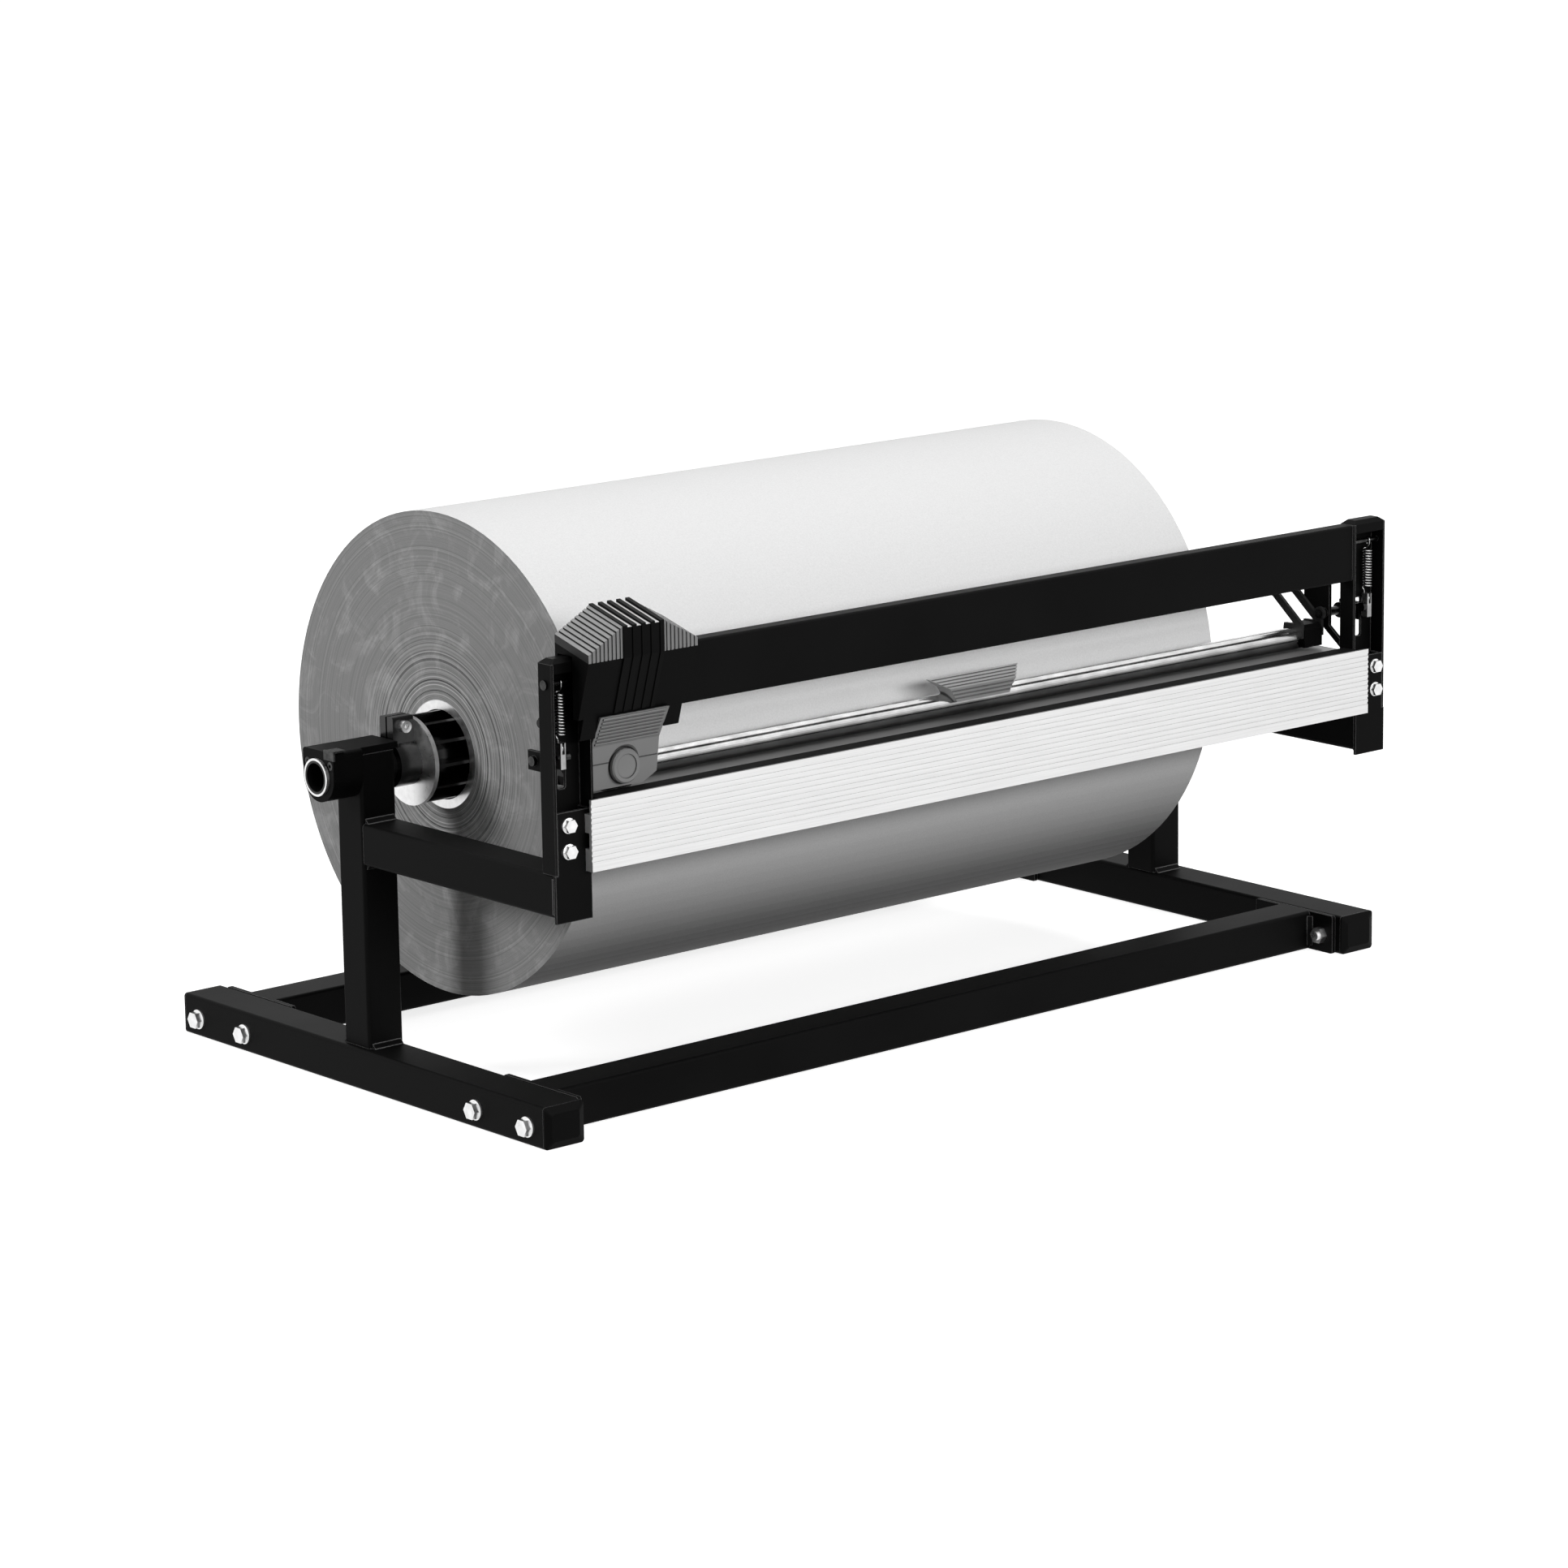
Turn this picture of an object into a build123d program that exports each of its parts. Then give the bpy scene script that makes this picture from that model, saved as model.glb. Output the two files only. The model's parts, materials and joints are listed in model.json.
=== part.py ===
from build123d import *
from math import atan2, cos, degrees, hypot, pi, radians, sin, sqrt
import os

# Counter-top dispenser and cutter for a wide roll of wrapping paper.
# Millimetres.  +X runs along the roll, to the right of someone in front of it,
# -Y faces that person, +Z is up, and Z = 0 is the counter.
# Y = 0 is half-way between the cutter head's nose and the rear end caps.

# ---------------------------------------------------------------- base frame
base_width = 952.0            # over the two side rails
rail_length = 500.0
rail_width = 40.0
rail_height = 35.0
tube_wall = 2.5
tube_corner = 3.0
tube_corner_inside = 1.0
cap_dome = 4.0                # how far an end cap stands proud of its tube
cap_rim = 1.5                 # straight part of that
cap_bevel = 6.0
cap_plug = 12.0               # how far it reaches into the tube
cap_play = 0.1
cross_depth = 40.0            # front-to-back size of a cross rail
cross_inset = 54.0            # from a rail's end to the middle of a cross rail
end_plate = 4.0               # plate welded on each end of a cross rail
end_plate_length = 96.0
base_bolt_spacing = 68.0
base_bolt_height = 15.7
bolt_r = 4.0                  # M8
bolt_hole_r = 4.3
bolt_head_af = 13.0
bolt_head_height = 5.5
flange_r = 8.5
flange_thick = 1.6
nut_height = 6.5
thread_end = 2.0              # thread that stands out of a nut
weld = 4.0                    # leg of a weld bead
weld_inset = 3.0              # a bead's ends from the corners of its tube

# ---------------------------------------------------- uprights, arms, posts
upright_size = 35.0
upright_inset = 6.0           # from the rail's outer face
upright_back = 7.0            # spindle line behind the middle of the rails
upright_above_axis = 16.4     # tube left standing above the spindle's axis
arm_size = 35.0
arm_top = 226.0
post_width = 40.0
post_depth = 17.0
post_outset = 1.0             # post's outer face beyond the upright's
post_top = 395.0
post_front = 268.0            # post's front edge ahead of the rails' middle
post_cap_height = 3.5
crossbar_height = 50.0
crossbar_depth = 15.0
crossbar_setback = 1.5
front_plate_drop = 4.0        # front plate below the arm
front_plate_top = 276.0
plate_thick = 2.5
plate_play = 0.2
plate_bolt_low = 244.2
plate_bolt_high = 265.2
plate_bolt_out = 7.0          # bolts outboard of the post's middle
plate_bolt_r = 3.0            # M6
plate_bolt_hole_r = 3.3
plate_bolt_af = 10.0
plate_bolt_head = 4.0
plate_bolt_flange_r = 6.3
plate_nut_height = 5.0
plate_slot = 6.0              # sideways adjustment

# ------------------------------------------------------------ paper and core
axis_height = 267.6
paper_width = 700.0
paper_r = 204.0
paper_shift = -24.0           # middle of the roll, left of the machine's middle
core_bore_r = 38.1
core_wall = 7.6
spindle_r = 14.0
spindle_wall = 2.0
spindle_play = 0.8            # radial, in the uprights' holes
housing_r = 21.0
housing_length = 29.8
housing_top = 22.4            # flat top above the axis
housing_plate = 5.6           # tongue over the upright's top
housing_corner = 3.0
housing_screw_out = 15.5      # from the spindle's line, to both sides
housing_screw_up = 11.0
housing_screw_r = 2.0
housing_screw_head_r = 3.6
housing_screw_sink = 3.0      # depth of the recess for its head
keeper_out = 17.0             # keeper's middle in front of the spindle's line
keeper_width = 14.0
keeper_drop = 8.0
keeper_reach = 12.0
keeper_thick = 1.6
ring_r = 15.8
ring_thick = 3.0
running_gap = 0.06            # radial, shaft in bore
side_gap = 0.3                # between bodies that pass close
plug_r = 37.8
plug_hub_r = 22.0
plug_length = 65.0
plug_depth = 34.0             # how far a plug reaches into the core
plug_fins = 12
plug_fin_thick = 2.6
plug_flange_thick = 4.0
collar_r = 20.0
collar_length = 21.0
lug_reach = 40.0
lug_width = 18.0
lug_root = 16.0               # where the clamp's lug leaves its collar
lug_slit = 2.0
clamp_screw_r = 3.0
clamp_screw_drop = 8.0        # below the lug's top
clamp_head_r = 5.0
clamp_head_height = 5.0
hex_socket_r = 2.4

# --------------------------------------------------------- cutting profile
profile_overlap = 10.0        # profile's ends in front of the posts
profile_height = 58.0
profile_lead = 9.0            # profile's face ahead of the posts
profile_depth = 72.0
profile_top = 284.0           # top of the front lip
lip = 2.5
ledge_drop = 2.4              # ledge below the lip
strip_width = 17.5
strip_depth = 12.0
strip_play = 0.1
strip_sink = 0.2              # rubber below the lip
knife_slot = 2.8
knife_slot_depth = 9.0
knife_lead = 25.5             # knife line behind the profile's face
rib_pitch = 4.4
rib_depth = 0.6
profile_screw_r = 2.5
profile_head_r = 4.4
profile_screw_back = 5.0      # behind the posts' front
profile_screw_drops = (18.0, 49.0)
profile_screw_grip = 25.0
profile_foot = 14.0           # rear of its lower part, behind the posts' front
profile_shelf_thick = 14.0
profile_shelf_root = 26.0
cavity_wall = 3.5
cavity_top = 27.0             # below the profile's top
cavity_bottom = 40.0
cavity_depth = 11.0
rib_margin = 5.0              # first rib below the profile's top

# --------------------------------------------------------------- press bar
rod_r = 10.0
rod_wall = 2.0
rod_end_inside = 18.0         # rod's end from the outer face of its block
rod_behind_knife = 29.5
paper_gap = 0.15              # room for the sheet under the rod
block_length = 22.0
block_gap = 6.5               # outer face of a block to the post
block_front = 14.0            # ahead of the rod's axis
block_back = 12.0
block_height = 20.0
lever_thick = 3.0
lever_width = 7.0
pivot_ahead = 10.0            # pivot ahead of the rod's axis
pivot_above = 20.4
pivot_r = 4.0
pivot_boss_r = 6.0
guide_r = 3.5
guide_boss_r = 5.0
guide_clear = 7.5             # guide rod to a full roll
guide_above = 20.0
cheek_thick = 3.0
cheek_reach = 44.0            # from the post's web to the cheek's rear edge
ear_thick = 3.0
crank_thick = 4.0
crank_forward = 27.5          # from the pivot to the crank's pin
crank_up = 6.0
pin_r = 2.0
spring_out = 5.7              # springs outboard of the posts' middle
clevis_width = 5.4
clevis_height = 21.0
spring_coil_r = 4.4           # to the wire's centre line
spring_wire_r = 0.6
spring_turns = 14
spring_bottom = 336.0
spring_top = 370.0
spring_pin_height = 378.0
tab_middle = 14.5             # lift tab, right of the machine's middle
tab_reach = 14.0              # tab's front ahead of the rod's axis
tab_above = 3.9
tab_face = 11.9               # height of its upright face
tab_rise = 8.5
tab_grip_r = 0.7
tab_blank = 120.0             # length it is cut from
tab_half_low = 30.0
tab_half_knee = 37.5
tab_half_top = 51.5
press_swing = 35.0            # degrees from resting to fully lifted

# ------------------------------------------------------------ cutting head
head_width = 110.0
head_park_inset = 35.5        # middle of the parked head, right of the left post
head_nose = 291.0             # nose ahead of the rails' middle
head_skin = 3.0
band_width = 41.0             # black band over the roof
band_rib_pitch = 9.2
band_rib = 4.0
band_proud = 1.2
band_floor = 2.2              # valleys between its ribs, below the ribs' tops
roof_front_eave = 402.6
roof_front_ridge = 421.0
roof_slope = 11.6             # rise from front to back
roof_rib_pitch = 4.0
cover_width = 69.5
cover_ribs = 8
cover_rib_r = 1.0
cover_lead = 2.7              # cover ahead of the brow at its top
cover_lean = 14.0             # how far it leans back down to its bend
cover_undercut = 5.0          # and from the bend to its foot
blade_r = 25.0
blade_thick = 1.0
blade_dip = 3.6               # below the ledge
axle_r = 4.0
button_r = 14.0
button_proud = 4.6
button_lip = 1.4
button_flare = 1.8
button_flare_angle = 38.0
button_rim = 0.8
chin_width = 100.0
cover_wall = 2.8
cover_groove = 2.2            # line where its lower shell starts
cover_groove_up = 21.5
head_screw_r = 1.5
head_screw_out = 22.0
head_screw_head_r = 2.3
carrier_width = 60.0
carrier_flange = 7.0
carrier_front = 1.5           # thickness of its flange
carrier_sheet = 2.0
carrier_leg_front = 1.2
carrier_leg_root = 22.0       # half widths of its legs
carrier_leg_tip = 10.0
glide_out = 28.0
glide_length = 12.0
glide_depth = 9.0
glide_height = 36.0

# ------------------------------------------------------- places worked out
cross_spread = rail_length - 2 * cross_inset
rear_reach = rail_length / 2 + cap_dome
mid_y = (head_nose - rear_reach) / 2
rail_x = (base_width - rail_width) / 2
rail_inner = base_width / 2 - rail_width
axis_y = mid_y + upright_back
upright_x = base_width / 2 - upright_inset - upright_size / 2
upright_top = axis_height + upright_above_axis
upright_front = axis_y - upright_size / 2
post_x = upright_x + upright_size / 2 + post_outset - post_width / 2
post_inner = post_x - post_width / 2
front_y = mid_y - post_front
web_y = front_y + post_depth
plate_y = front_y + plate_thick
post_bottom = arm_top
arm_bottom = arm_top - arm_size
plate_x = post_x + plate_bolt_out
profile_length = 2 * (post_inner + profile_overlap)
block_outer = post_inner - block_gap
rod_length = 2 * (block_outer - rod_end_inside)
head_park = head_park_inset - post_inner
spring_middle = post_x + spring_out
crank_middle = spring_middle - clevis_width / 2 - side_gap - crank_thick / 2
ear_middle = spring_middle + 3.5
bar_front = front_y + crossbar_setback
bar_back = bar_front + crossbar_depth
face_y = front_y - profile_lead
ledge_z = profile_top - ledge_drop
knife_y = face_y + knife_lead
rod_y = knife_y + rod_behind_knife
rod_z = ledge_z + paper_gap + rod_r
pivot_y = rod_y - pivot_ahead
pivot_z = rod_z + pivot_above
guide_z = pivot_z + guide_above
guide_y = axis_y - sqrt((paper_r + guide_clear + guide_r) ** 2 - (guide_z - axis_height) ** 2)
crank_y = pivot_y - crank_forward
crank_z = pivot_z + crank_up
block_bottom = profile_top + side_gap
nose_y = mid_y - head_nose + band_proud
roll_left = paper_shift - paper_width / 2
roll_right = paper_shift + paper_width / 2
housing_x = upright_x + upright_size / 2
blade_z = ledge_z - blade_dip + blade_r

os.makedirs("parts", exist_ok=True)


def save(piece, name):
    """Label a finished piece and write it under its own name."""
    piece.part.label = name
    export_step(piece.part, "parts/" + name + ".step")


def plane_x(x):
    """A plane across the machine, at x: its own x is +Y and its own y is +Z."""
    return Plane(origin=(x, 0, 0), x_dir=(0, 1, 0), z_dir=(1, 0, 0))


def plane_y(y):
    """A plane facing the front, at y: its own x is +X and its own y is +Z."""
    return Plane(origin=(0, y, 0), x_dir=(1, 0, 0), z_dir=(0, -1, 0))


# ================================================================ base frame
with BuildPart() as side_rail_right:
    with BuildSketch(plane_y(mid_y + rail_length / 2)):
        with Locations((rail_x, rail_height / 2)):
            RectangleRounded(rail_width, rail_height, tube_corner)
            RectangleRounded(
                rail_width - 2 * tube_wall, rail_height - 2 * tube_wall, tube_corner_inside,
                mode=Mode.SUBTRACT,
            )
    extrude(amount=rail_length)
    for cross in (-1, 1):
        for side in (-1, 1):
            bolt_y = mid_y + cross * cross_spread / 2 + side * base_bolt_spacing / 2
            with BuildSketch(plane_x(rail_x - rail_width)):
                with Locations((bolt_y, base_bolt_height)):
                    Circle(bolt_hole_r)
            extrude(amount=2 * rail_width, mode=Mode.SUBTRACT)
save(side_rail_right, "side_rail_right")

with BuildPart() as side_rail_left:
    mirror(side_rail_right.part, about=Plane.YZ)
save(side_rail_left, "side_rail_left")

with BuildPart() as rail_end_caps:
    for side in (-1, 1):
        for end in (-1, 1):
            cap_y = mid_y + end * rail_length / 2
            face = Plane(origin=(side * rail_x, cap_y, rail_height / 2), x_dir=(1, 0, 0), z_dir=(0, end, 0))
            with BuildSketch(face):
                RectangleRounded(rail_width, rail_height, tube_corner)
            extrude(amount=cap_rim)
            with BuildSketch(face.offset(cap_rim)):
                RectangleRounded(rail_width, rail_height, tube_corner)
            with BuildSketch(face.offset(cap_dome)):
                RectangleRounded(rail_width - 2 * cap_bevel, rail_height - 2 * cap_bevel, tube_corner)
            loft(ruled=True)
            with BuildSketch(face.offset(-cap_plug)):
                RectangleRounded(
                    rail_width - 2 * tube_wall - 2 * cap_play,
                    rail_height - 2 * tube_wall - 2 * cap_play,
                    tube_corner_inside,
                )
            extrude(amount=cap_plug)
save(rail_end_caps, "rail_end_caps")


def cross_rail(center_y):
    """One cross rail: a box tube with a bolting plate on each end."""
    with BuildPart() as rail:
        with BuildSketch(plane_x(end_plate - rail_inner)):
            with Locations((center_y, rail_height / 2)):
                RectangleRounded(cross_depth, rail_height, tube_corner)
                RectangleRounded(
                    cross_depth - 2 * tube_wall, rail_height - 2 * tube_wall, tube_corner_inside,
                    mode=Mode.SUBTRACT,
                )
        extrude(amount=2 * (rail_inner - end_plate))
        for start in (-rail_inner, rail_inner - end_plate):
            with BuildSketch(plane_x(start)):
                with Locations((center_y, rail_height / 2)):
                    RectangleRounded(end_plate_length, rail_height, 2)
                with Locations(
                    (center_y - base_bolt_spacing / 2, base_bolt_height),
                    (center_y + base_bolt_spacing / 2, base_bolt_height),
                ):
                    Circle(bolt_hole_r, mode=Mode.SUBTRACT)
            extrude(amount=end_plate)
    return rail


cross_rail_front = cross_rail(mid_y - cross_spread / 2)
save(cross_rail_front, "cross_rail_front")
cross_rail_back = cross_rail(mid_y + cross_spread / 2)
save(cross_rail_back, "cross_rail_back")

base_bolt_places = [
    mid_y + cross * cross_spread / 2 + side * base_bolt_spacing / 2 for cross in (-1, 1) for side in (-1, 1)
]
base_grip = rail_width + end_plate

with BuildPart() as rail_bolts:
    for side in (-1, 1):
        for bolt_y in base_bolt_places:
            seat = Plane(
                origin=(side * base_width / 2, bolt_y, base_bolt_height), x_dir=(0, 1, 0), z_dir=(side, 0, 0)
            )
            with BuildSketch(seat):
                Circle(flange_r)
            extrude(amount=flange_thick)
            with BuildSketch(seat.offset(flange_thick)):
                RegularPolygon(bolt_head_af / 2, 6, major_radius=False)
            extrude(amount=bolt_head_height)
            with BuildSketch(seat):
                Circle(bolt_r)
            extrude(amount=-(base_grip + nut_height + thread_end))
save(rail_bolts, "rail_bolts")

with BuildPart() as nuts:
    for side in (-1, 1):
        for bolt_y in base_bolt_places:
            seat = Plane(
                origin=(side * (rail_inner - end_plate), bolt_y, base_bolt_height),
                x_dir=(0, 1, 0),
                z_dir=(-side, 0, 0),
            )
            with BuildSketch(seat):
                RegularPolygon(bolt_head_af / 2, 6, major_radius=False)
                Circle(bolt_r, mode=Mode.SUBTRACT)
            extrude(amount=nut_height)
        for bolt_z in (plate_bolt_low, plate_bolt_high):
            seat = Plane(origin=(side * plate_x, web_y, bolt_z), x_dir=(1, 0, 0), z_dir=(0, 1, 0))
            with BuildSketch(seat):
                RegularPolygon(plate_bolt_af / 2, 6, major_radius=False)
                Circle(plate_bolt_r, mode=Mode.SUBTRACT)
            extrude(amount=plate_nut_height)
save(nuts, "nuts")

# ======================================================= uprights, arms, posts
with BuildPart() as upright_right:
    with BuildSketch(Plane.XY.offset(rail_height)):
        with Locations((upright_x, axis_y)):
            RectangleRounded(upright_size, upright_size, tube_corner)
            RectangleRounded(
                upright_size - 2 * tube_wall, upright_size - 2 * tube_wall, tube_corner_inside,
                mode=Mode.SUBTRACT,
            )
    extrude(amount=upright_top - rail_height)
    with BuildSketch(plane_x(upright_x - upright_size)):
        with Locations((axis_y, axis_height)):
            Circle(spindle_r + spindle_play)
    extrude(amount=2 * upright_size, mode=Mode.SUBTRACT)
save(upright_right, "upright_right")

with BuildPart() as upright_left:
    mirror(upright_right.part, about=Plane.YZ)
save(upright_left, "upright_left")

with BuildPart() as arm_right:
    with BuildSketch(plane_y(upright_front)):
        with Locations((upright_x, arm_top - arm_size / 2)):
            RectangleRounded(arm_size, arm_size, tube_corner)
            RectangleRounded(
                arm_size - 2 * tube_wall, arm_size - 2 * tube_wall, tube_corner_inside, mode=Mode.SUBTRACT
            )
    extrude(amount=upright_front - plate_y)
save(arm_right, "arm_right")

with BuildPart() as arm_left:
    mirror(arm_right.part, about=Plane.YZ)
save(arm_left, "arm_left")

profile_screw_places = [(front_y + profile_screw_back, profile_top - drop) for drop in profile_screw_drops]
crank_slot_width = crank_thick + 4
# the crank falls as the bar is lifted, so its slot in the web is longer below than above
crank_fall = crank_forward * sin(radians(press_swing)) + crank_up * (1 - cos(radians(press_swing)))
crank_slot_low = crank_z - crank_fall - 10
crank_slot_high = crank_z + 8

with BuildPart() as post_right:
    with BuildSketch(Plane.XY.offset(post_bottom)):
        with Locations((post_x, front_y + post_depth / 2)):
            RectangleRounded(post_width, post_depth, 1)
        with Locations((post_x, front_y + (post_depth - tube_wall) / 2)):
            Rectangle(post_width - 2 * tube_wall, post_depth - tube_wall, mode=Mode.SUBTRACT)
    extrude(amount=post_top - post_bottom)
    # slot in the web for the press bar's crank
    with BuildSketch(plane_y(web_y + 1)):
        with Locations((crank_middle, (crank_slot_low + crank_slot_high) / 2)):
            RectangleRounded(crank_slot_width, crank_slot_high - crank_slot_low, 2)
        with Locations((plate_x, plate_bolt_low), (plate_x, plate_bolt_high)):
            Circle(plate_bolt_hole_r)
    extrude(amount=tube_wall + 2, mode=Mode.SUBTRACT)
    # screws into the profile's end, and the pin that the spring hangs on
    with BuildSketch(plane_x(post_inner - 1)):
        with Locations(*profile_screw_places):
            Circle(profile_screw_r + 0.2)
    extrude(amount=tube_wall + 2, mode=Mode.SUBTRACT)
    with BuildSketch(plane_x(post_x + post_width / 2 - tube_wall - 1)):
        with Locations((crank_y, spring_pin_height)):
            Circle(pin_r + 0.1)
    extrude(amount=tube_wall + 2, mode=Mode.SUBTRACT)
save(post_right, "post_right")

with BuildPart() as post_left:
    mirror(post_right.part, about=Plane.YZ)
save(post_left, "post_left")

with BuildPart() as post_caps:
    for side in (-1, 1):
        top = Plane(origin=(side * post_x, front_y + post_depth / 2, post_top))
        with BuildSketch(top):
            RectangleRounded(post_width, post_depth, 1.5)
        with BuildSketch(top.offset(post_cap_height)):
            RectangleRounded(post_width - 10, post_depth - 7, 1.5)
        loft(ruled=True)
        with BuildSketch(top.offset(-8)):
            with Locations((0, -tube_wall / 2)):
                Rectangle(post_width - 2 * tube_wall - 2 * cap_play, post_depth - tube_wall - 2 * cap_play)
        extrude(amount=8)
save(post_caps, "post_caps")

with BuildPart() as crossbar:
    with BuildSketch(plane_x(-post_inner)):
        with Locations(((bar_front + bar_back) / 2, post_top - crossbar_height / 2)):
            RectangleRounded(crossbar_depth, crossbar_height, 2)
            RectangleRounded(crossbar_depth - 4, crossbar_height - 4, 0.8, mode=Mode.SUBTRACT)
    extrude(amount=2 * post_inner)
save(crossbar, "crossbar")

plate_width = post_width - 2 * tube_wall - 2 * plate_play
plate_inside = web_y - tube_wall - plate_y         # depth of its side flanges
lower_height = arm_size + front_plate_drop - plate_play

with BuildPart() as front_plate_right:
    # the upper half sits between the post's flanges, the lower half closes the arm's end
    with BuildSketch(plane_y(plate_y)):
        with Locations((post_x, (post_bottom + front_plate_top) / 2)):
            Rectangle(plate_width, front_plate_top - post_bottom)
        with Locations((upright_x + post_outset / 2, post_bottom - plate_play - lower_height / 2)):
            Rectangle(arm_size + post_outset, lower_height)
        with Locations((post_x, post_bottom)):
            Rectangle(plate_width, 2 * plate_play)
    extrude(amount=plate_thick)
    for way in (-1, 1):
        with BuildSketch(plane_y(web_y - tube_wall)):
            flange_x = post_x + way * (plate_width - plate_thick) / 2
            with Locations((flange_x, (post_bottom + 1 + front_plate_top) / 2)):
                Rectangle(plate_thick, front_plate_top - post_bottom - 1)
        extrude(amount=plate_inside)
    with BuildSketch(plane_y(plate_y + 1)):
        with Locations((plate_x, plate_bolt_low), (plate_x, plate_bolt_high)):
            SlotOverall(2 * plate_bolt_hole_r + plate_slot, 2 * plate_bolt_hole_r)
    extrude(amount=plate_thick + 2, mode=Mode.SUBTRACT)
    # room for the heads of the profile's screws
    with BuildSketch(plane_x(post_inner + tube_wall - 1)):
        with Locations(*profile_screw_places):
            Circle(profile_head_r + 0.6)
    extrude(amount=plate_thick + 2, mode=Mode.SUBTRACT)
save(front_plate_right, "front_plate_right")

with BuildPart() as front_plate_left:
    mirror(front_plate_right.part, about=Plane.YZ)
save(front_plate_left, "front_plate_left")

with BuildPart() as plate_bolts:
    for side in (-1, 1):
        for bolt_z in (plate_bolt_low, plate_bolt_high):
            seat = Plane(origin=(side * plate_x, front_y, bolt_z), x_dir=(1, 0, 0), z_dir=(0, -1, 0))
            with BuildSketch(seat):
                Circle(plate_bolt_flange_r)
            extrude(amount=flange_thick)
            with BuildSketch(seat.offset(flange_thick)):
                RegularPolygon(plate_bolt_af / 2, 6, major_radius=False)
            extrude(amount=plate_bolt_head)
            with BuildSketch(seat):
                Circle(plate_bolt_r)
            extrude(amount=-(post_depth + plate_nut_height + thread_end))
save(plate_bolts, "plate_bolts")

with BuildPart() as frame_welds:
    for side in (-1, 1):
        # round the upright's foot: front, back
        for end in (-1, 1):
            with BuildSketch(plane_x(side * upright_x - upright_size / 2 + weld_inset)):
                with BuildLine():
                    foot_y = axis_y + end * upright_size / 2
                    Polyline(
                        (foot_y, rail_height), (foot_y + end * weld, rail_height),
                        (foot_y, rail_height + weld), close=True,
                    )
                make_face()
            extrude(amount=upright_size - 2 * weld_inset)
        # on and under the arm, where it meets the upright, the post and the front plate
        for joint_y, joint_z, end, way in (
            (upright_front, arm_top, -1, 1), (upright_front, arm_bottom, -1, -1),
            (web_y, arm_top, 1, 1), (plate_y, arm_bottom, 1, -1),
        ):
            with BuildSketch(plane_x(side * upright_x - upright_size / 2 + weld_inset)):
                with BuildLine():
                    Polyline(
                        (joint_y, joint_z), (joint_y + end * weld, joint_z),
                        (joint_y, joint_z + way * min(weld, front_plate_drop)), close=True,
                    )
                make_face()
            extrude(amount=upright_size - 2 * weld_inset)
        # up the arm's outer face, behind the front plate
        with BuildSketch(Plane.XY.offset(arm_bottom + weld_inset)):
            with BuildLine():
                arm_face = side * (upright_x + arm_size / 2)
                Polyline(
                    (arm_face, plate_y), (arm_face + side * post_outset, plate_y), (arm_face, plate_y + weld),
                    close=True,
                )
            make_face()
        extrude(amount=arm_size - 2 * weld_inset)
        # along the top of each cross rail, on its end plate
        for cross in (-1, 1):
            for end in (-1, 1):
                with BuildSketch(Plane.XY.offset(weld)):
                    with BuildLine():
                        edge_y = mid_y + cross * cross_spread / 2 + end * cross_depth / 2
                        edge_x = side * (rail_inner - end_plate)
                        Polyline(
                            (edge_x, edge_y), (edge_x - side * weld, edge_y), (edge_x, edge_y + end * weld),
                            close=True,
                        )
                    make_face()
                extrude(amount=rail_height - 2 * weld)
save(frame_welds, "frame_welds")

# ============================================================ cutting profile
inner_length = 2 * (post_inner - 0.5)
shelf_y = face_y + profile_depth
foot_back = front_y + profile_foot
cavity_front = face_y + cavity_wall
cavity_back = front_y + cavity_depth
with BuildPart() as cutting_profile:
    with BuildSketch(plane_x(-profile_length / 2)):
        with Locations(((face_y + front_y - side_gap) / 2, profile_top - profile_height / 2)):
            Rectangle(profile_lead - side_gap, profile_height)
    extrude(amount=profile_length)
    with BuildSketch(plane_x(-inner_length / 2)):
        with BuildLine():
            Polyline(
                (face_y + 1, profile_top - profile_height), (foot_back, profile_top - profile_height),
                (foot_back, profile_top - profile_shelf_root), (shelf_y, profile_top - profile_shelf_thick),
                (shelf_y, ledge_z), (face_y + 1, ledge_z), close=True,
            )
        make_face()
    extrude(amount=inner_length)
    # hollow behind the front wall and under the shelf
    with BuildSketch(plane_x(-profile_length / 2)):
        with BuildLine():
            Polyline(
                (cavity_front, profile_top - cavity_bottom), (cavity_back, profile_top - cavity_bottom),
                (cavity_back, profile_top - cavity_top), (cavity_front, profile_top - cavity_top), close=True,
            )
        make_face()
    extrude(amount=profile_length, mode=Mode.SUBTRACT)
    # groove for the rubber strip, and the knife's slot behind it
    with BuildSketch(plane_x(-profile_length / 2)):
        with Locations((face_y + lip + strip_width / 2, profile_top - strip_depth / 2)):
            Rectangle(strip_width, strip_depth)
        with Locations((knife_y, ledge_z - knife_slot_depth / 2 + 1)):
            Rectangle(knife_slot, knife_slot_depth + 2)
    extrude(amount=profile_length, mode=Mode.SUBTRACT)
    # fine ribs along the front face
    rib_count = int((profile_height - 6) / rib_pitch)
    with BuildSketch(plane_x(-profile_length / 2)):
        for rib in range(rib_count):
            with Locations((face_y, profile_top - rib_margin - rib * rib_pitch)):
                Rectangle(2 * rib_depth, rib_pitch / 2)
    extrude(amount=profile_length, mode=Mode.SUBTRACT)
    # screw channels, open at both ends
    with BuildSketch(plane_x(-profile_length / 2)):
        with Locations(*profile_screw_places):
            Circle(profile_screw_r)
    extrude(amount=profile_length, mode=Mode.SUBTRACT)
save(cutting_profile, "cutting_profile")

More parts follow.
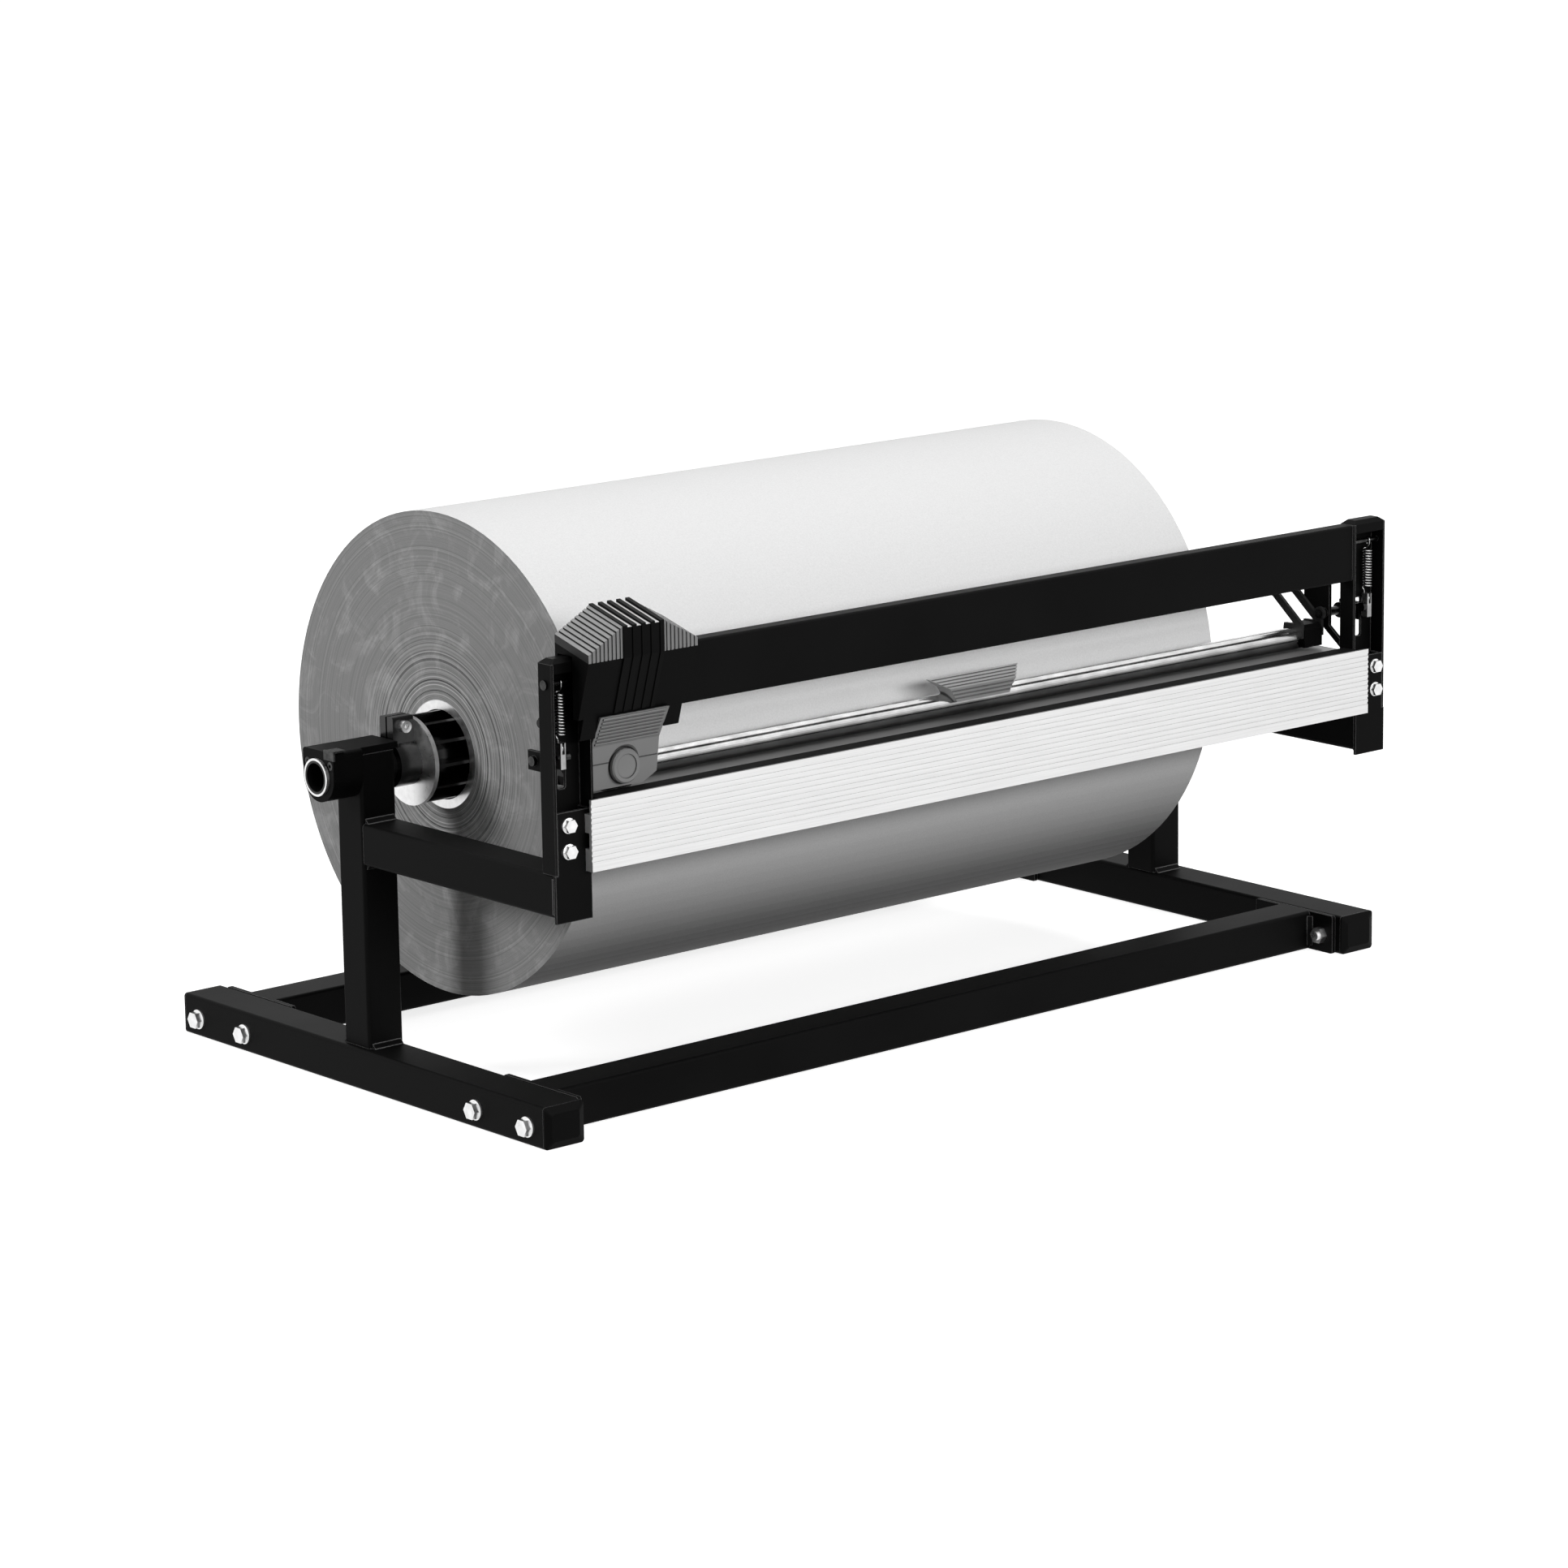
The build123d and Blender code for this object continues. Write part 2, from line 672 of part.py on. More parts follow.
strip_low = profile_top - strip_depth
strip_high = profile_top - strip_sink
with BuildPart() as cutting_strip:
    with BuildSketch(plane_x(-inner_length / 2)):
        with Locations((face_y + lip + strip_width / 2, (strip_low + strip_high) / 2)):
            Rectangle(strip_width - 2 * strip_play, strip_high - strip_low)
    extrude(amount=inner_length)
save(cutting_strip, "cutting_strip")

with BuildPart() as profile_screws:
    for side in (-1, 1):
        for screw_y, screw_z in profile_screw_places:
            seat = Plane(
                origin=(side * (post_inner + tube_wall), screw_y, screw_z),
                x_dir=(0, 1, 0),
                z_dir=(side, 0, 0),
            )
            with BuildSketch(seat):
                Circle(profile_head_r)
            extrude(amount=plate_thick - 0.3)
            with BuildSketch(seat):
                Circle(profile_screw_r)
            extrude(amount=-(tube_wall + profile_screw_grip))
save(profile_screws, "profile_screws")

# ================================================================= press bar
with BuildPart() as press_rod:
    with BuildSketch(plane_x(-rod_length / 2)):
        with Locations((rod_y, rod_z)):
            Circle(rod_r)
            Circle(rod_r - rod_wall, mode=Mode.SUBTRACT)
    extrude(amount=rod_length)
save(press_rod, "press_rod")

with BuildPart() as end_blocks:
    for side in (-1, 1):
        start = block_outer - block_length if side > 0 else -block_outer
        with BuildSketch(plane_x(start)):
            with BuildLine():
                Polyline(
                    (rod_y - block_front, block_bottom), (rod_y + block_back, block_bottom),
                    (rod_y + block_back, block_bottom + block_height - 5),
                    (rod_y + block_back - 5, block_bottom + block_height),
                    (rod_y - block_front + 4, block_bottom + block_height),
                    (rod_y - block_front, block_bottom + block_height - 4), close=True,
                )
            make_face()
        extrude(amount=block_length)
        with BuildSketch(plane_x(start if side < 0 else start - 1)):
            with Locations((rod_y, rod_z)):
                Circle(rod_r)
        extrude(amount=1, mode=Mode.SUBTRACT)
    with BuildSketch(plane_x(-rod_length / 2)):
        with Locations((rod_y, rod_z)):
            Circle(rod_r)
    extrude(amount=rod_length, mode=Mode.SUBTRACT)
save(end_blocks, "end_blocks")

heel_y = pivot_y + 1
heel_z = pivot_z - 7
lever_starts = (
    -block_outer - lever_thick, -block_outer + block_length,
    block_outer - block_length - lever_thick, block_outer,
)
lever_length = hypot(guide_y - heel_y, guide_z - heel_z)
lever_angle = degrees(atan2(guide_z - heel_z, guide_y - heel_y))
with BuildPart() as press_levers:
    for start in lever_starts:
        outer = abs(start + lever_thick / 2) > block_outer
        with BuildSketch(plane_x(start)):
            with Locations(((heel_y + guide_y) / 2, (heel_z + guide_z) / 2)):
                SlotCenterToCenter(lever_length, lever_width, rotation=lever_angle)
            with Locations((guide_y, guide_z)):
                Circle(guide_boss_r)
            with BuildLine():
                Polyline(
                    (rod_y - block_front + 1, rod_z + 1), (rod_y + block_back - 1, rod_z + 1),
                    (rod_y + block_back - 3, heel_z), (heel_y - 4, heel_z + 1), close=True,
                )
            make_face()
            # only the outer strips turn on the pivot
            if outer:
                with Locations((pivot_y, pivot_z)):
                    Circle(pivot_boss_r)
                    Circle(pivot_r, mode=Mode.SUBTRACT)
            with Locations((guide_y, guide_z)):
                Circle(guide_r, mode=Mode.SUBTRACT)
        extrude(amount=lever_thick)
    with BuildSketch(plane_x(-rod_length / 2)):
        with Locations((rod_y, rod_z)):
            Circle(rod_r)
    extrude(amount=rod_length, mode=Mode.SUBTRACT)
save(press_levers, "press_levers")

guide_length = 2 * (block_outer + lever_thick + 2)
with BuildPart() as guide_rod:
    with BuildSketch(plane_x(-guide_length / 2)):
        with Locations((guide_y, guide_z)):
            Circle(guide_r)
    extrude(amount=guide_length)
save(guide_rod, "guide_rod")

crank_length = hypot(crank_forward, crank_up)
crank_angle = degrees(atan2(crank_up, -crank_forward))
shaft_start = block_outer - 1
shaft_end = ear_middle + ear_thick / 2 + 3
pin_end = spring_middle + clevis_width / 2 + 1
with BuildPart() as pivot_cranks:
    for side in (-1, 1):
        with BuildSketch(Plane(origin=(side * shaft_start, 0, 0), x_dir=(0, 1, 0), z_dir=(1, 0, 0))):
            with Locations((pivot_y, pivot_z)):
                Circle(pivot_r)
        extrude(amount=side * (shaft_end - shaft_start))
        with BuildSketch(plane_x(side * crank_middle - crank_thick / 2)):
            with Locations(((pivot_y + crank_y) / 2, (pivot_z + crank_z) / 2)):
                SlotCenterToCenter(crank_length, 8, rotation=crank_angle)
            with Locations((pivot_y, pivot_z)):
                Circle(7)
        extrude(amount=crank_thick)
        with BuildSketch(Plane(origin=(side * crank_middle, 0, 0), x_dir=(0, 1, 0), z_dir=(1, 0, 0))):
            with Locations((crank_y, crank_z)):
                Circle(pin_r)
        extrude(amount=side * (pin_end - crank_middle))
save(pivot_cranks, "pivot_cranks")

clevis_low = crank_z - 9
hook_z = clevis_low + clevis_height - 4.5
with BuildPart() as spring_clevises:
    for side in (-1, 1):
        middle = Plane(origin=(side * spring_middle, crank_y, 0))
        with BuildSketch(middle.offset(clevis_low)):
            RectangleRounded(clevis_width, 7.8, 0.8)
        extrude(amount=clevis_height)
        with BuildSketch(middle.offset(hook_z - 4.6)):
            Rectangle(2.4, 9)
        extrude(amount=12, mode=Mode.SUBTRACT)
        with BuildSketch(plane_x(side * spring_middle - clevis_width / 2)):
            with Locations((crank_y, hook_z)):
                Circle(pin_r - 0.3)
        extrude(amount=clevis_width)
        with BuildSketch(plane_x(side * spring_middle - clevis_width)):
            with Locations((crank_y, crank_z)):
                Circle(pin_r + running_gap)
        extrude(amount=2 * clevis_width, mode=Mode.SUBTRACT)
save(spring_clevises, "spring_clevises")


def spring_points(x, y):
    """Points and directions along one tension spring: lower hook, coils, upper hook."""
    hook_r = 2.9
    stations = []
    for quarter in range(3):
        turn = pi / 2 * quarter
        stations.append((
            Vector(x, y - hook_r * sin(turn), hook_z + hook_r * cos(turn)),
            Vector(0, -cos(turn), -sin(turn)),
        ))
    stations.append((Vector(x, y + hook_r, hook_z), Vector(0, 0, 1)))
    stations.append((Vector(x, y + hook_r, clevis_low + clevis_height + 0.5), Vector(0, 0, 1)))
    lift = (spring_top - spring_bottom) / spring_turns / (2 * pi)
    for quarter in range(4 * spring_turns + 1):
        turn = pi / 2 * quarter
        stations.append((
            Vector(x + spring_coil_r * sin(turn), y + spring_coil_r * cos(turn), spring_bottom + lift * turn),
            Vector(spring_coil_r * cos(turn), -spring_coil_r * sin(turn), lift).normalized(),
        ))
    for quarter in range(4):
        turn = pi / 2 * quarter
        stations.append((
            Vector(x, y - hook_r * cos(turn), spring_pin_height + hook_r * sin(turn)),
            Vector(0, sin(turn), cos(turn)),
        ))
    return stations


def biarc(start, start_dir, end, end_dir):
    """Two arcs that leave start and reach end in the given directions."""
    chord = end - start
    if chord.normalized().dot(start_dir) > 0.99999:
        return [Edge.make_line(start, end)]
    both = start_dir + end_dir
    bend = 2 * (1 - start_dir.dot(end_dir))
    along = chord.dot(both)
    if bend < 1e-9:
        reach = chord.length ** 2 / (2 * along)
    else:
        reach = (-along + sqrt(along ** 2 + bend * chord.dot(chord))) / bend
    middle = (start + end + (start_dir - end_dir) * reach) / 2
    middle_dir = (end - end_dir * reach - start - start_dir * reach).normalized()
    first = Edge.make_tangent_arc(start, start_dir, middle)
    second = Edge.make_tangent_arc(middle, middle_dir, end)
    return [first, second]


def spring_path(x, y):
    """The spring's centre line as one chain of arcs."""
    stations = spring_points(x, y)
    arcs = []
    for here, after in zip(stations, stations[1:]):
        arcs += biarc(here[0], here[1], after[0], after[1])
    return arcs


def least_gap(arcs, wire_r):
    """Least clear distance between parts of the wire that lie more than a few wires apart along it."""
    points = []
    for arc in arcs:
        for step in range(6):
            points.append(arc @ (step / 6))
    travelled = [0.0]
    for here, after in zip(points, points[1:]):
        travelled.append(travelled[-1] + (after - here).length)
    best = 1e9
    for i in range(0, len(points)):
        for j in range(i + 1, len(points)):
            if travelled[j] - travelled[i] > 8 * wire_r:
                best = min(best, (points[j] - points[i]).length)
    return best - 2 * wire_r


right_arcs = spring_path(spring_middle, crank_y)
print("spring: least gap to itself", round(least_gap(right_arcs, spring_wire_r), 2), "mm")

with BuildPart() as press_springs:
    for side in (-1, 1):
        with BuildLine() as coil:
            for arc in spring_path(side * spring_middle, crank_y):
                add(arc)
        with BuildSketch(Plane(origin=coil.line @ 0, z_dir=coil.line % 0)):
            Circle(spring_wire_r)
        sweep(path=coil.wires()[0])
save(press_springs, "press_springs")

with BuildPart() as spring_pins:
    for side in (-1, 1):
        inside = post_inner + tube_wall
        outside = post_x + post_width / 2
        with BuildSketch(Plane(origin=(side * inside, 0, 0), x_dir=(0, 1, 0), z_dir=(1, 0, 0))):
            with Locations((crank_y, spring_pin_height)):
                Circle(pin_r)
        extrude(amount=side * (outside - inside + 1.5))
        with BuildSketch(Plane(origin=(side * outside, 0, 0), x_dir=(0, 1, 0), z_dir=(1, 0, 0))):
            with Locations((crank_y, spring_pin_height)):
                Circle(2 * pin_r)
        extrude(amount=side * 1.5)
save(spring_pins, "spring_pins")

cheek_start = post_inner + side_gap
cheek_back = web_y + cheek_reach
with BuildPart() as cheek_plate_right:
    with BuildSketch(plane_x(cheek_start)):
        with BuildLine():
            Polyline(
                (web_y, post_top - 20), (cheek_back, post_top - 20), (cheek_back, pivot_z + 10),
                (pivot_y + 8, pivot_z - 8), (web_y, profile_top - 0.5), (web_y, profile_top + 7),
                (pivot_y - 6, pivot_z - 11), (pivot_y - 6, pivot_z + 34), (web_y, pivot_z + 34), close=True,
            )
        make_face()
        with Locations((pivot_y, pivot_z)):
            Circle(pivot_r + running_gap, mode=Mode.SUBTRACT)
    extrude(amount=cheek_thick)
save(cheek_plate_right, "cheek_plate_right")

with BuildPart() as cheek_plate_left:
    mirror(cheek_plate_right.part, about=Plane.YZ)
save(cheek_plate_left, "cheek_plate_left")

with BuildPart() as pivot_ears:
    for side in (-1, 1):
        ear_x = side * ear_middle - ear_thick / 2
        with BuildSketch(plane_x(ear_x)):
            with Locations(((web_y + pivot_y + 8) / 2, pivot_z)):
                Rectangle(pivot_y + 8 - web_y, 16)
            with Locations((pivot_y, pivot_z)):
                Circle(pivot_r + running_gap, mode=Mode.SUBTRACT)
        extrude(amount=ear_thick)
save(pivot_ears, "pivot_ears")

tab_low = rod_z + tab_above
tab_knee = tab_low + tab_face
tab_top = tab_knee + tab_rise
tab_front = rod_y - tab_reach
with BuildPart() as lift_tab:
    with BuildSketch(plane_x(tab_middle - tab_blank / 2)):
        with BuildLine():
            Polyline(
                (tab_front, tab_low), (tab_front, tab_knee), (rod_y - 1, tab_top), (rod_y + 3, tab_top - 1),
                (rod_y + 3, rod_z + 6), (rod_y - 4, rod_z + 6), (rod_y - 7, tab_low), close=True,
            )
        make_face()
        for rib in range(3):
            with Locations((tab_front, tab_low + 3 + 3.2 * rib)):
                Circle(tab_grip_r, mode=Mode.SUBTRACT)
        for rib in range(4):
            with Locations((tab_front + 2 + 3 * rib, tab_knee + 1.3 + 1.96 * rib)):
                Circle(tab_grip_r, mode=Mode.SUBTRACT)
    extrude(amount=tab_blank)
    with BuildSketch(plane_y(rod_y + 30)):
        with BuildLine():
            Polyline(
                (tab_middle - tab_half_low, tab_low), (tab_middle + tab_half_low, tab_low),
                (tab_middle + tab_half_knee, tab_knee), (tab_middle + tab_half_top, tab_top),
                (tab_middle - tab_half_top, tab_top), (tab_middle - tab_half_knee, tab_knee), close=True,
            )
        make_face()
    extrude(amount=60, mode=Mode.INTERSECT)
    with BuildSketch(plane_x(tab_middle - tab_blank / 2)):
        with Locations((rod_y, rod_z)):
            Circle(rod_r)
    extrude(amount=tab_blank, mode=Mode.SUBTRACT)
save(lift_tab, "lift_tab")

# ======================================================== spindle and roll
housing_end = housing_x + housing_length
housing_screw_places = [
    (axis_y - housing_screw_out, axis_height + housing_screw_up),
    (axis_y + housing_screw_out, axis_height + housing_screw_up),
]
with BuildPart() as spindle_housing_right:
    with BuildSketch(plane_x(housing_x)):
        with Locations((axis_y, axis_height)):
            Circle(housing_r)
        with Locations((axis_y, axis_height + housing_top / 2)):
            Rectangle(2 * housing_r, housing_top)
    extrude(amount=housing_length)
    fillet(edges().filter_by(Axis.X).group_by(Axis.Z)[-1], housing_corner)
    with BuildSketch(plane_x(post_inner + 1)):
        with Locations((axis_y, axis_height + housing_top - housing_plate / 2 + 0.2)):
            Rectangle(upright_size, housing_plate - 0.4)
    extrude(amount=housing_x - post_inner)
    with BuildSketch(plane_x(post_inner)):
        with Locations((axis_y, axis_height)):
            Circle(spindle_r + running_gap)
    extrude(amount=80, mode=Mode.SUBTRACT)
    with BuildSketch(plane_x(housing_x - 1)):
        with Locations(*housing_screw_places):
            Circle(housing_screw_r + 0.1)
    extrude(amount=housing_length + 2, mode=Mode.SUBTRACT)
    with BuildSketch(plane_x(housing_end - housing_screw_sink)):
        with Locations(*housing_screw_places):
            Circle(housing_screw_head_r + side_gap)
    extrude(amount=housing_screw_sink + 1, mode=Mode.SUBTRACT)
save(spindle_housing_right, "spindle_housing_right")

with BuildPart() as spindle_housing_left:
    mirror(spindle_housing_right.part, about=Plane.YZ)
save(spindle_housing_left, "spindle_housing_left")

with BuildPart() as housing_screws:
    for side in (-1, 1):
        for screw_y, screw_z in housing_screw_places:
            seat = Plane(
                origin=(side * (housing_end - housing_screw_sink), screw_y, screw_z),
                x_dir=(0, 1, 0),
                z_dir=(side, 0, 0),
            )
            with BuildSketch(seat):
                Circle(housing_screw_head_r)
                RegularPolygon(1.6, 6, mode=Mode.SUBTRACT)
            extrude(amount=housing_screw_sink - 0.4)
            with BuildSketch(seat):
                Circle(housing_screw_r)
            extrude(amount=-(housing_length - housing_screw_sink - 0.2))
save(housing_screws, "housing_screws")

keeper_top = housing_top + 2.0
with BuildPart() as spindle_keepers:
    for side in (-1, 1):
        face = Plane(origin=(side * housing_end, 0, 0), x_dir=(0, 1, 0), z_dir=(1, 0, 0))
        with BuildSketch(face):
            with Locations((axis_y - keeper_out, axis_height + keeper_top - keeper_drop / 2)):
                Rectangle(keeper_width, keeper_drop)
        extrude(amount=side * keeper_thick)
        with BuildSketch(face):
            with Locations((axis_y - keeper_out + 1, axis_height + housing_top + keeper_thick / 2)):
                Rectangle(keeper_width - 2, keeper_thick)
        extrude(amount=-side * keeper_reach)
save(spindle_keepers, "spindle_keepers")

spindle_length = 2 * (housing_end + 0.3 + ring_thick)
with BuildPart() as spindle:
    with BuildSketch(plane_x(-spindle_length / 2)):
        with Locations((axis_y, axis_height)):
            Circle(spindle_r)
            Circle(spindle_r - spindle_wall, mode=Mode.SUBTRACT)
    extrude(amount=spindle_length)
save(spindle, "spindle")

with BuildPart() as spindle_rings:
    for start in (-spindle_length / 2, spindle_length / 2 - ring_thick):
        with BuildSketch(plane_x(start)):
            with Locations((axis_y, axis_height)):
                Circle(ring_r)
                Circle(spindle_r, mode=Mode.SUBTRACT)
        extrude(amount=ring_thick)
save(spindle_rings, "spindle_rings")

plug_out = plug_length - plug_depth           # plug standing out of the roll
with BuildPart() as core_plug_left:
    with BuildSketch(plane_x(roll_left - plug_out)):
        with Locations((axis_y, axis_height)):
            Circle(plug_hub_r)
            with PolarLocations((plug_hub_r + plug_r) / 2 - 1, plug_fins):
                Rectangle(plug_r - plug_hub_r + 2, plug_fin_thick)
            Circle(spindle_r, mode=Mode.SUBTRACT)
    extrude(amount=plug_length)
save(core_plug_left, "core_plug_left")

with BuildPart() as core_plug_right:
    with BuildSketch(plane_x(roll_right - plug_depth)):
        with Locations((axis_y, axis_height)):
            Circle(plug_hub_r)
            with PolarLocations((plug_hub_r + plug_r) / 2 - 1, plug_fins):
                Rectangle(plug_r - plug_hub_r + 2, plug_fin_thick)
            Circle(spindle_r, mode=Mode.SUBTRACT)
    extrude(amount=plug_length)
save(core_plug_right, "core_plug_right")

left_flange = roll_left - plug_out - plug_flange_thick
right_flange = roll_right + plug_out
with BuildPart() as plug_flanges:
    for start in (left_flange, right_flange):
        with BuildSketch(plane_x(start)):
            with Locations((axis_y, axis_height)):
                Circle(plug_r)
                Circle(spindle_r, mode=Mode.SUBTRACT)
        extrude(amount=plug_flange_thick)
save(plug_flanges, "plug_flanges")

clamp_screw_z = axis_height + lug_reach - clamp_screw_drop
left_collar = left_flange - collar_length
right_collar = right_flange + plug_flange_thick
with BuildPart() as clamp_collars:
    for start in (left_collar, right_collar):
        with BuildSketch(plane_x(start)):
            with Locations((axis_y, axis_height)):
                Circle(collar_r)
            with Locations((axis_y, axis_height + (lug_reach + lug_root) / 2)):
                RectangleRounded(lug_width, lug_reach - lug_root, 2)
            with Locations((axis_y, axis_height)):
                Circle(spindle_r, mode=Mode.SUBTRACT)
            with Locations((axis_y, axis_height + (lug_reach + lug_root) / 2)):
                Rectangle(lug_slit, lug_reach, mode=Mode.SUBTRACT)
        extrude(amount=collar_length)
        with BuildSketch(plane_y(axis_y + 20)):
            with Locations((start + collar_length / 2, clamp_screw_z)):
                Circle(clamp_screw_r)
        extrude(amount=40, mode=Mode.SUBTRACT)
save(clamp_collars, "clamp_collars")

with BuildPart() as clamp_screws:
    for start in (left_collar, right_collar):
        seat = Plane(
            origin=(start + collar_length / 2, axis_y - lug_width / 2, clamp_screw_z),
            x_dir=(1, 0, 0),
            z_dir=(0, -1, 0),
        )
        with BuildSketch(seat):
            Circle(clamp_head_r)
            RegularPolygon(hex_socket_r, 6, mode=Mode.SUBTRACT)
        extrude(amount=clamp_head_height)
        with BuildSketch(seat):
            Circle(clamp_screw_r)
        extrude(amount=-lug_width)
save(clamp_screws, "clamp_screws")

core_r = core_bore_r + core_wall
with BuildPart() as roll_core:
    with BuildSketch(plane_x(roll_left)):
        with Locations((axis_y, axis_height)):
            Circle(core_r)
            Circle(core_bore_r, mode=Mode.SUBTRACT)
    extrude(amount=paper_width)
save(roll_core, "roll_core")

with BuildPart() as paper_roll:
    with BuildSketch(plane_x(roll_left)):
        with Locations((axis_y, axis_height)):
            Circle(paper_r)
            Circle(core_r, mode=Mode.SUBTRACT)
    extrude(amount=paper_width)
save(paper_roll, "paper_roll")

# ================================================================ cutter head
head_left = head_park - head_width / 2
eave_z = post_top + 1.0                       # where the roof meets the body
skin_front = front_y - 0.9                    # inside of the head's front wall
skin_top = post_top + post_cap_height + 0.7
skirt_in = web_y + 0.4
skirt_out = skirt_in + head_skin
roof_depth = skirt_out - nose_y
skirt_low = post_top - 17.0
brow_y = nose_y + 14.5
brow_z = post_top - 46.0
chin_z = brow_z - 18.0
cover_top = (brow_y - cover_lead, brow_z - 0.5)
cover_bend = (cover_top[0] + cover_lean, brow_z - 27.0)
cover_foot = (cover_bend[0] + cover_undercut, profile_top + 2.0)
cover_back = knife_y - 3.8
button_share = (blade_z - cover_foot[1]) / (cover_bend[1] - cover_foot[1])
button_surface = cover_foot[0] - cover_undercut * button_share      # cover's front at the button
screw_z = chin_z + 11.0
screw_places = (head_park - head_screw_out, head_park + head_screw_out)

with BuildPart() as head_body:
    with BuildSketch(plane_x(head_left)):
        with BuildLine():
            Polyline(
                (nose_y, eave_z), (brow_y, brow_z), (skin_front, brow_z), (skin_front, skin_top),
                (skirt_in, skin_top), (skirt_in, skirt_low), (skirt_out, skirt_low),
                (skirt_out, eave_z + roof_slope), close=True,
            )
        make_face()
    extrude(amount=head_width)
    # black chin under the brow, on both sides of the cover
    with BuildSketch(plane_x(head_park - chin_width / 2)):
        with BuildLine():
            Polyline(
                (brow_y, brow_z), (skin_front - 1, chin_z), (skin_front, chin_z), (skin_front, brow_z),
                close=True,
            )
        make_face()
    extrude(amount=chin_width)
    with BuildSketch(plane_x(head_park - cover_width / 2 - 0.1)):
        with BuildLine():
            Polyline(
                cover_top, (cover_top[0] + 2.9, cover_top[1]), (cover_bend[0] + 2.9, cover_bend[1]),
                (cover_bend[0] - 40, cover_bend[1]), close=True,
            )
        make_face()
    extrude(amount=cover_width + 0.2, mode=Mode.SUBTRACT)
    for screw_x in screw_places:
        with BuildSketch(plane_y(skin_front)):
            with Locations((screw_x, screw_z)):
                Circle(head_screw_r)
        extrude(amount=3.4, mode=Mode.SUBTRACT)
save(head_body, "head_body")

slope_dir = Vector(0, roof_depth, roof_slope).normalized()
slope_length = hypot(roof_depth, roof_slope)
band_half = band_width / 2
roof_half = head_width / 2
roof_fall = (roof_front_ridge - roof_front_eave) / (roof_half - band_half)


def roof_top(x):
    """Height of the roof's front edge at x from the head's middle."""
    return roof_front_ridge - roof_fall * (x - band_half)


with BuildPart() as head_roof_right:
    with BuildSketch(plane_y(nose_y)):
        with BuildLine():
            Polyline(
                (head_park + band_half, eave_z), (head_park + roof_half, eave_z),
                (head_park + roof_half, roof_front_eave), (head_park + band_half, roof_front_ridge), close=True,
            )
        make_face()
    extrude(amount=slope_length, dir=slope_dir)
    with BuildSketch(plane_y(nose_y + head_skin)):
        with BuildLine():
            rise = roof_slope * head_skin / roof_depth
            Polyline(
                (head_park + band_half + 2, eave_z - 1), (head_park + roof_half - head_skin, eave_z - 1),
                (head_park + roof_half - head_skin, roof_front_eave - 1.8 + rise),
                (head_park + band_half + 2, roof_front_ridge - 5 + rise), close=True,
            )
        make_face()
    extrude(amount=slope_length * (1 - 2 * head_skin / roof_depth), dir=slope_dir, mode=Mode.SUBTRACT)
    # ribs: from front to back on top, and up and down on the front face
    rib_total = int((roof_half - band_half) / roof_rib_pitch)
    for rib in range(rib_total):
        rib_x = band_half + 3 + rib * roof_rib_pitch
        with BuildSketch(plane_y(nose_y - 1)):
            with Locations((head_park + rib_x, roof_top(rib_x) - 0.3)):
                Rectangle(1.5, 1.6)
        extrude(amount=slope_length + 3, dir=slope_dir, mode=Mode.SUBTRACT)
        with BuildSketch(Plane.XY.offset(eave_z - 1)):
            with Locations((head_park + rib_x, nose_y)):
                Rectangle(1.5, 1.6)
        extrude(amount=40, mode=Mode.SUBTRACT)
save(head_roof_right, "head_roof_right")

head_middle = Plane(origin=(head_park, 0, 0), z_dir=(1, 0, 0))
with BuildPart() as head_roof_left:
    mirror(head_roof_right.part, about=head_middle)
save(head_roof_left, "head_roof_left")

band_low = brow_z + 1.0
band_low_y = brow_y - (brow_y - nose_y) / (eave_z - brow_z)
valley_z = roof_front_ridge + band_proud - band_floor
with BuildPart() as head_spine:
    with BuildSketch(plane_x(head_park - band_half)):
        with BuildLine():
            Polyline(
                (band_low_y, band_low), (nose_y, eave_z), (nose_y + 2.5, eave_z + 0.7),
                (nose_y + 2.5, roof_front_ridge - 5), (skirt_out, roof_front_ridge - 5 + roof_slope),
                (skirt_out, valley_z + roof_slope), (nose_y - 0.4, valley_z),
                (nose_y - 0.4, eave_z), (band_low_y - 0.4, band_low), close=True,
            )
        make_face()
    extrude(amount=band_width)
    band_ribs = int((band_width - 2) / band_rib_pitch) + 1
    for rib in range(band_ribs):
        rib_x = head_park - (band_ribs - 1) * band_rib_pitch / 2 + rib * band_rib_pitch - band_rib / 2
        with BuildSketch(plane_x(rib_x)):
            with BuildLine():
                Polyline(
                    (band_low_y - 0.2, band_low), (nose_y - 0.2, eave_z), (nose_y - 0.2, valley_z - 1),
                    (skirt_out, valley_z - 1 + roof_slope),
                    (skirt_out, roof_front_ridge + band_proud + roof_slope),
                    (nose_y - band_proud, roof_front_ridge + band_proud - 0.6), (nose_y - band_proud, eave_z),
                    (band_low_y - band_proud, band_low), close=True,
                )
            make_face()
        extrude(amount=band_rib)
save(head_spine, "head_spine")

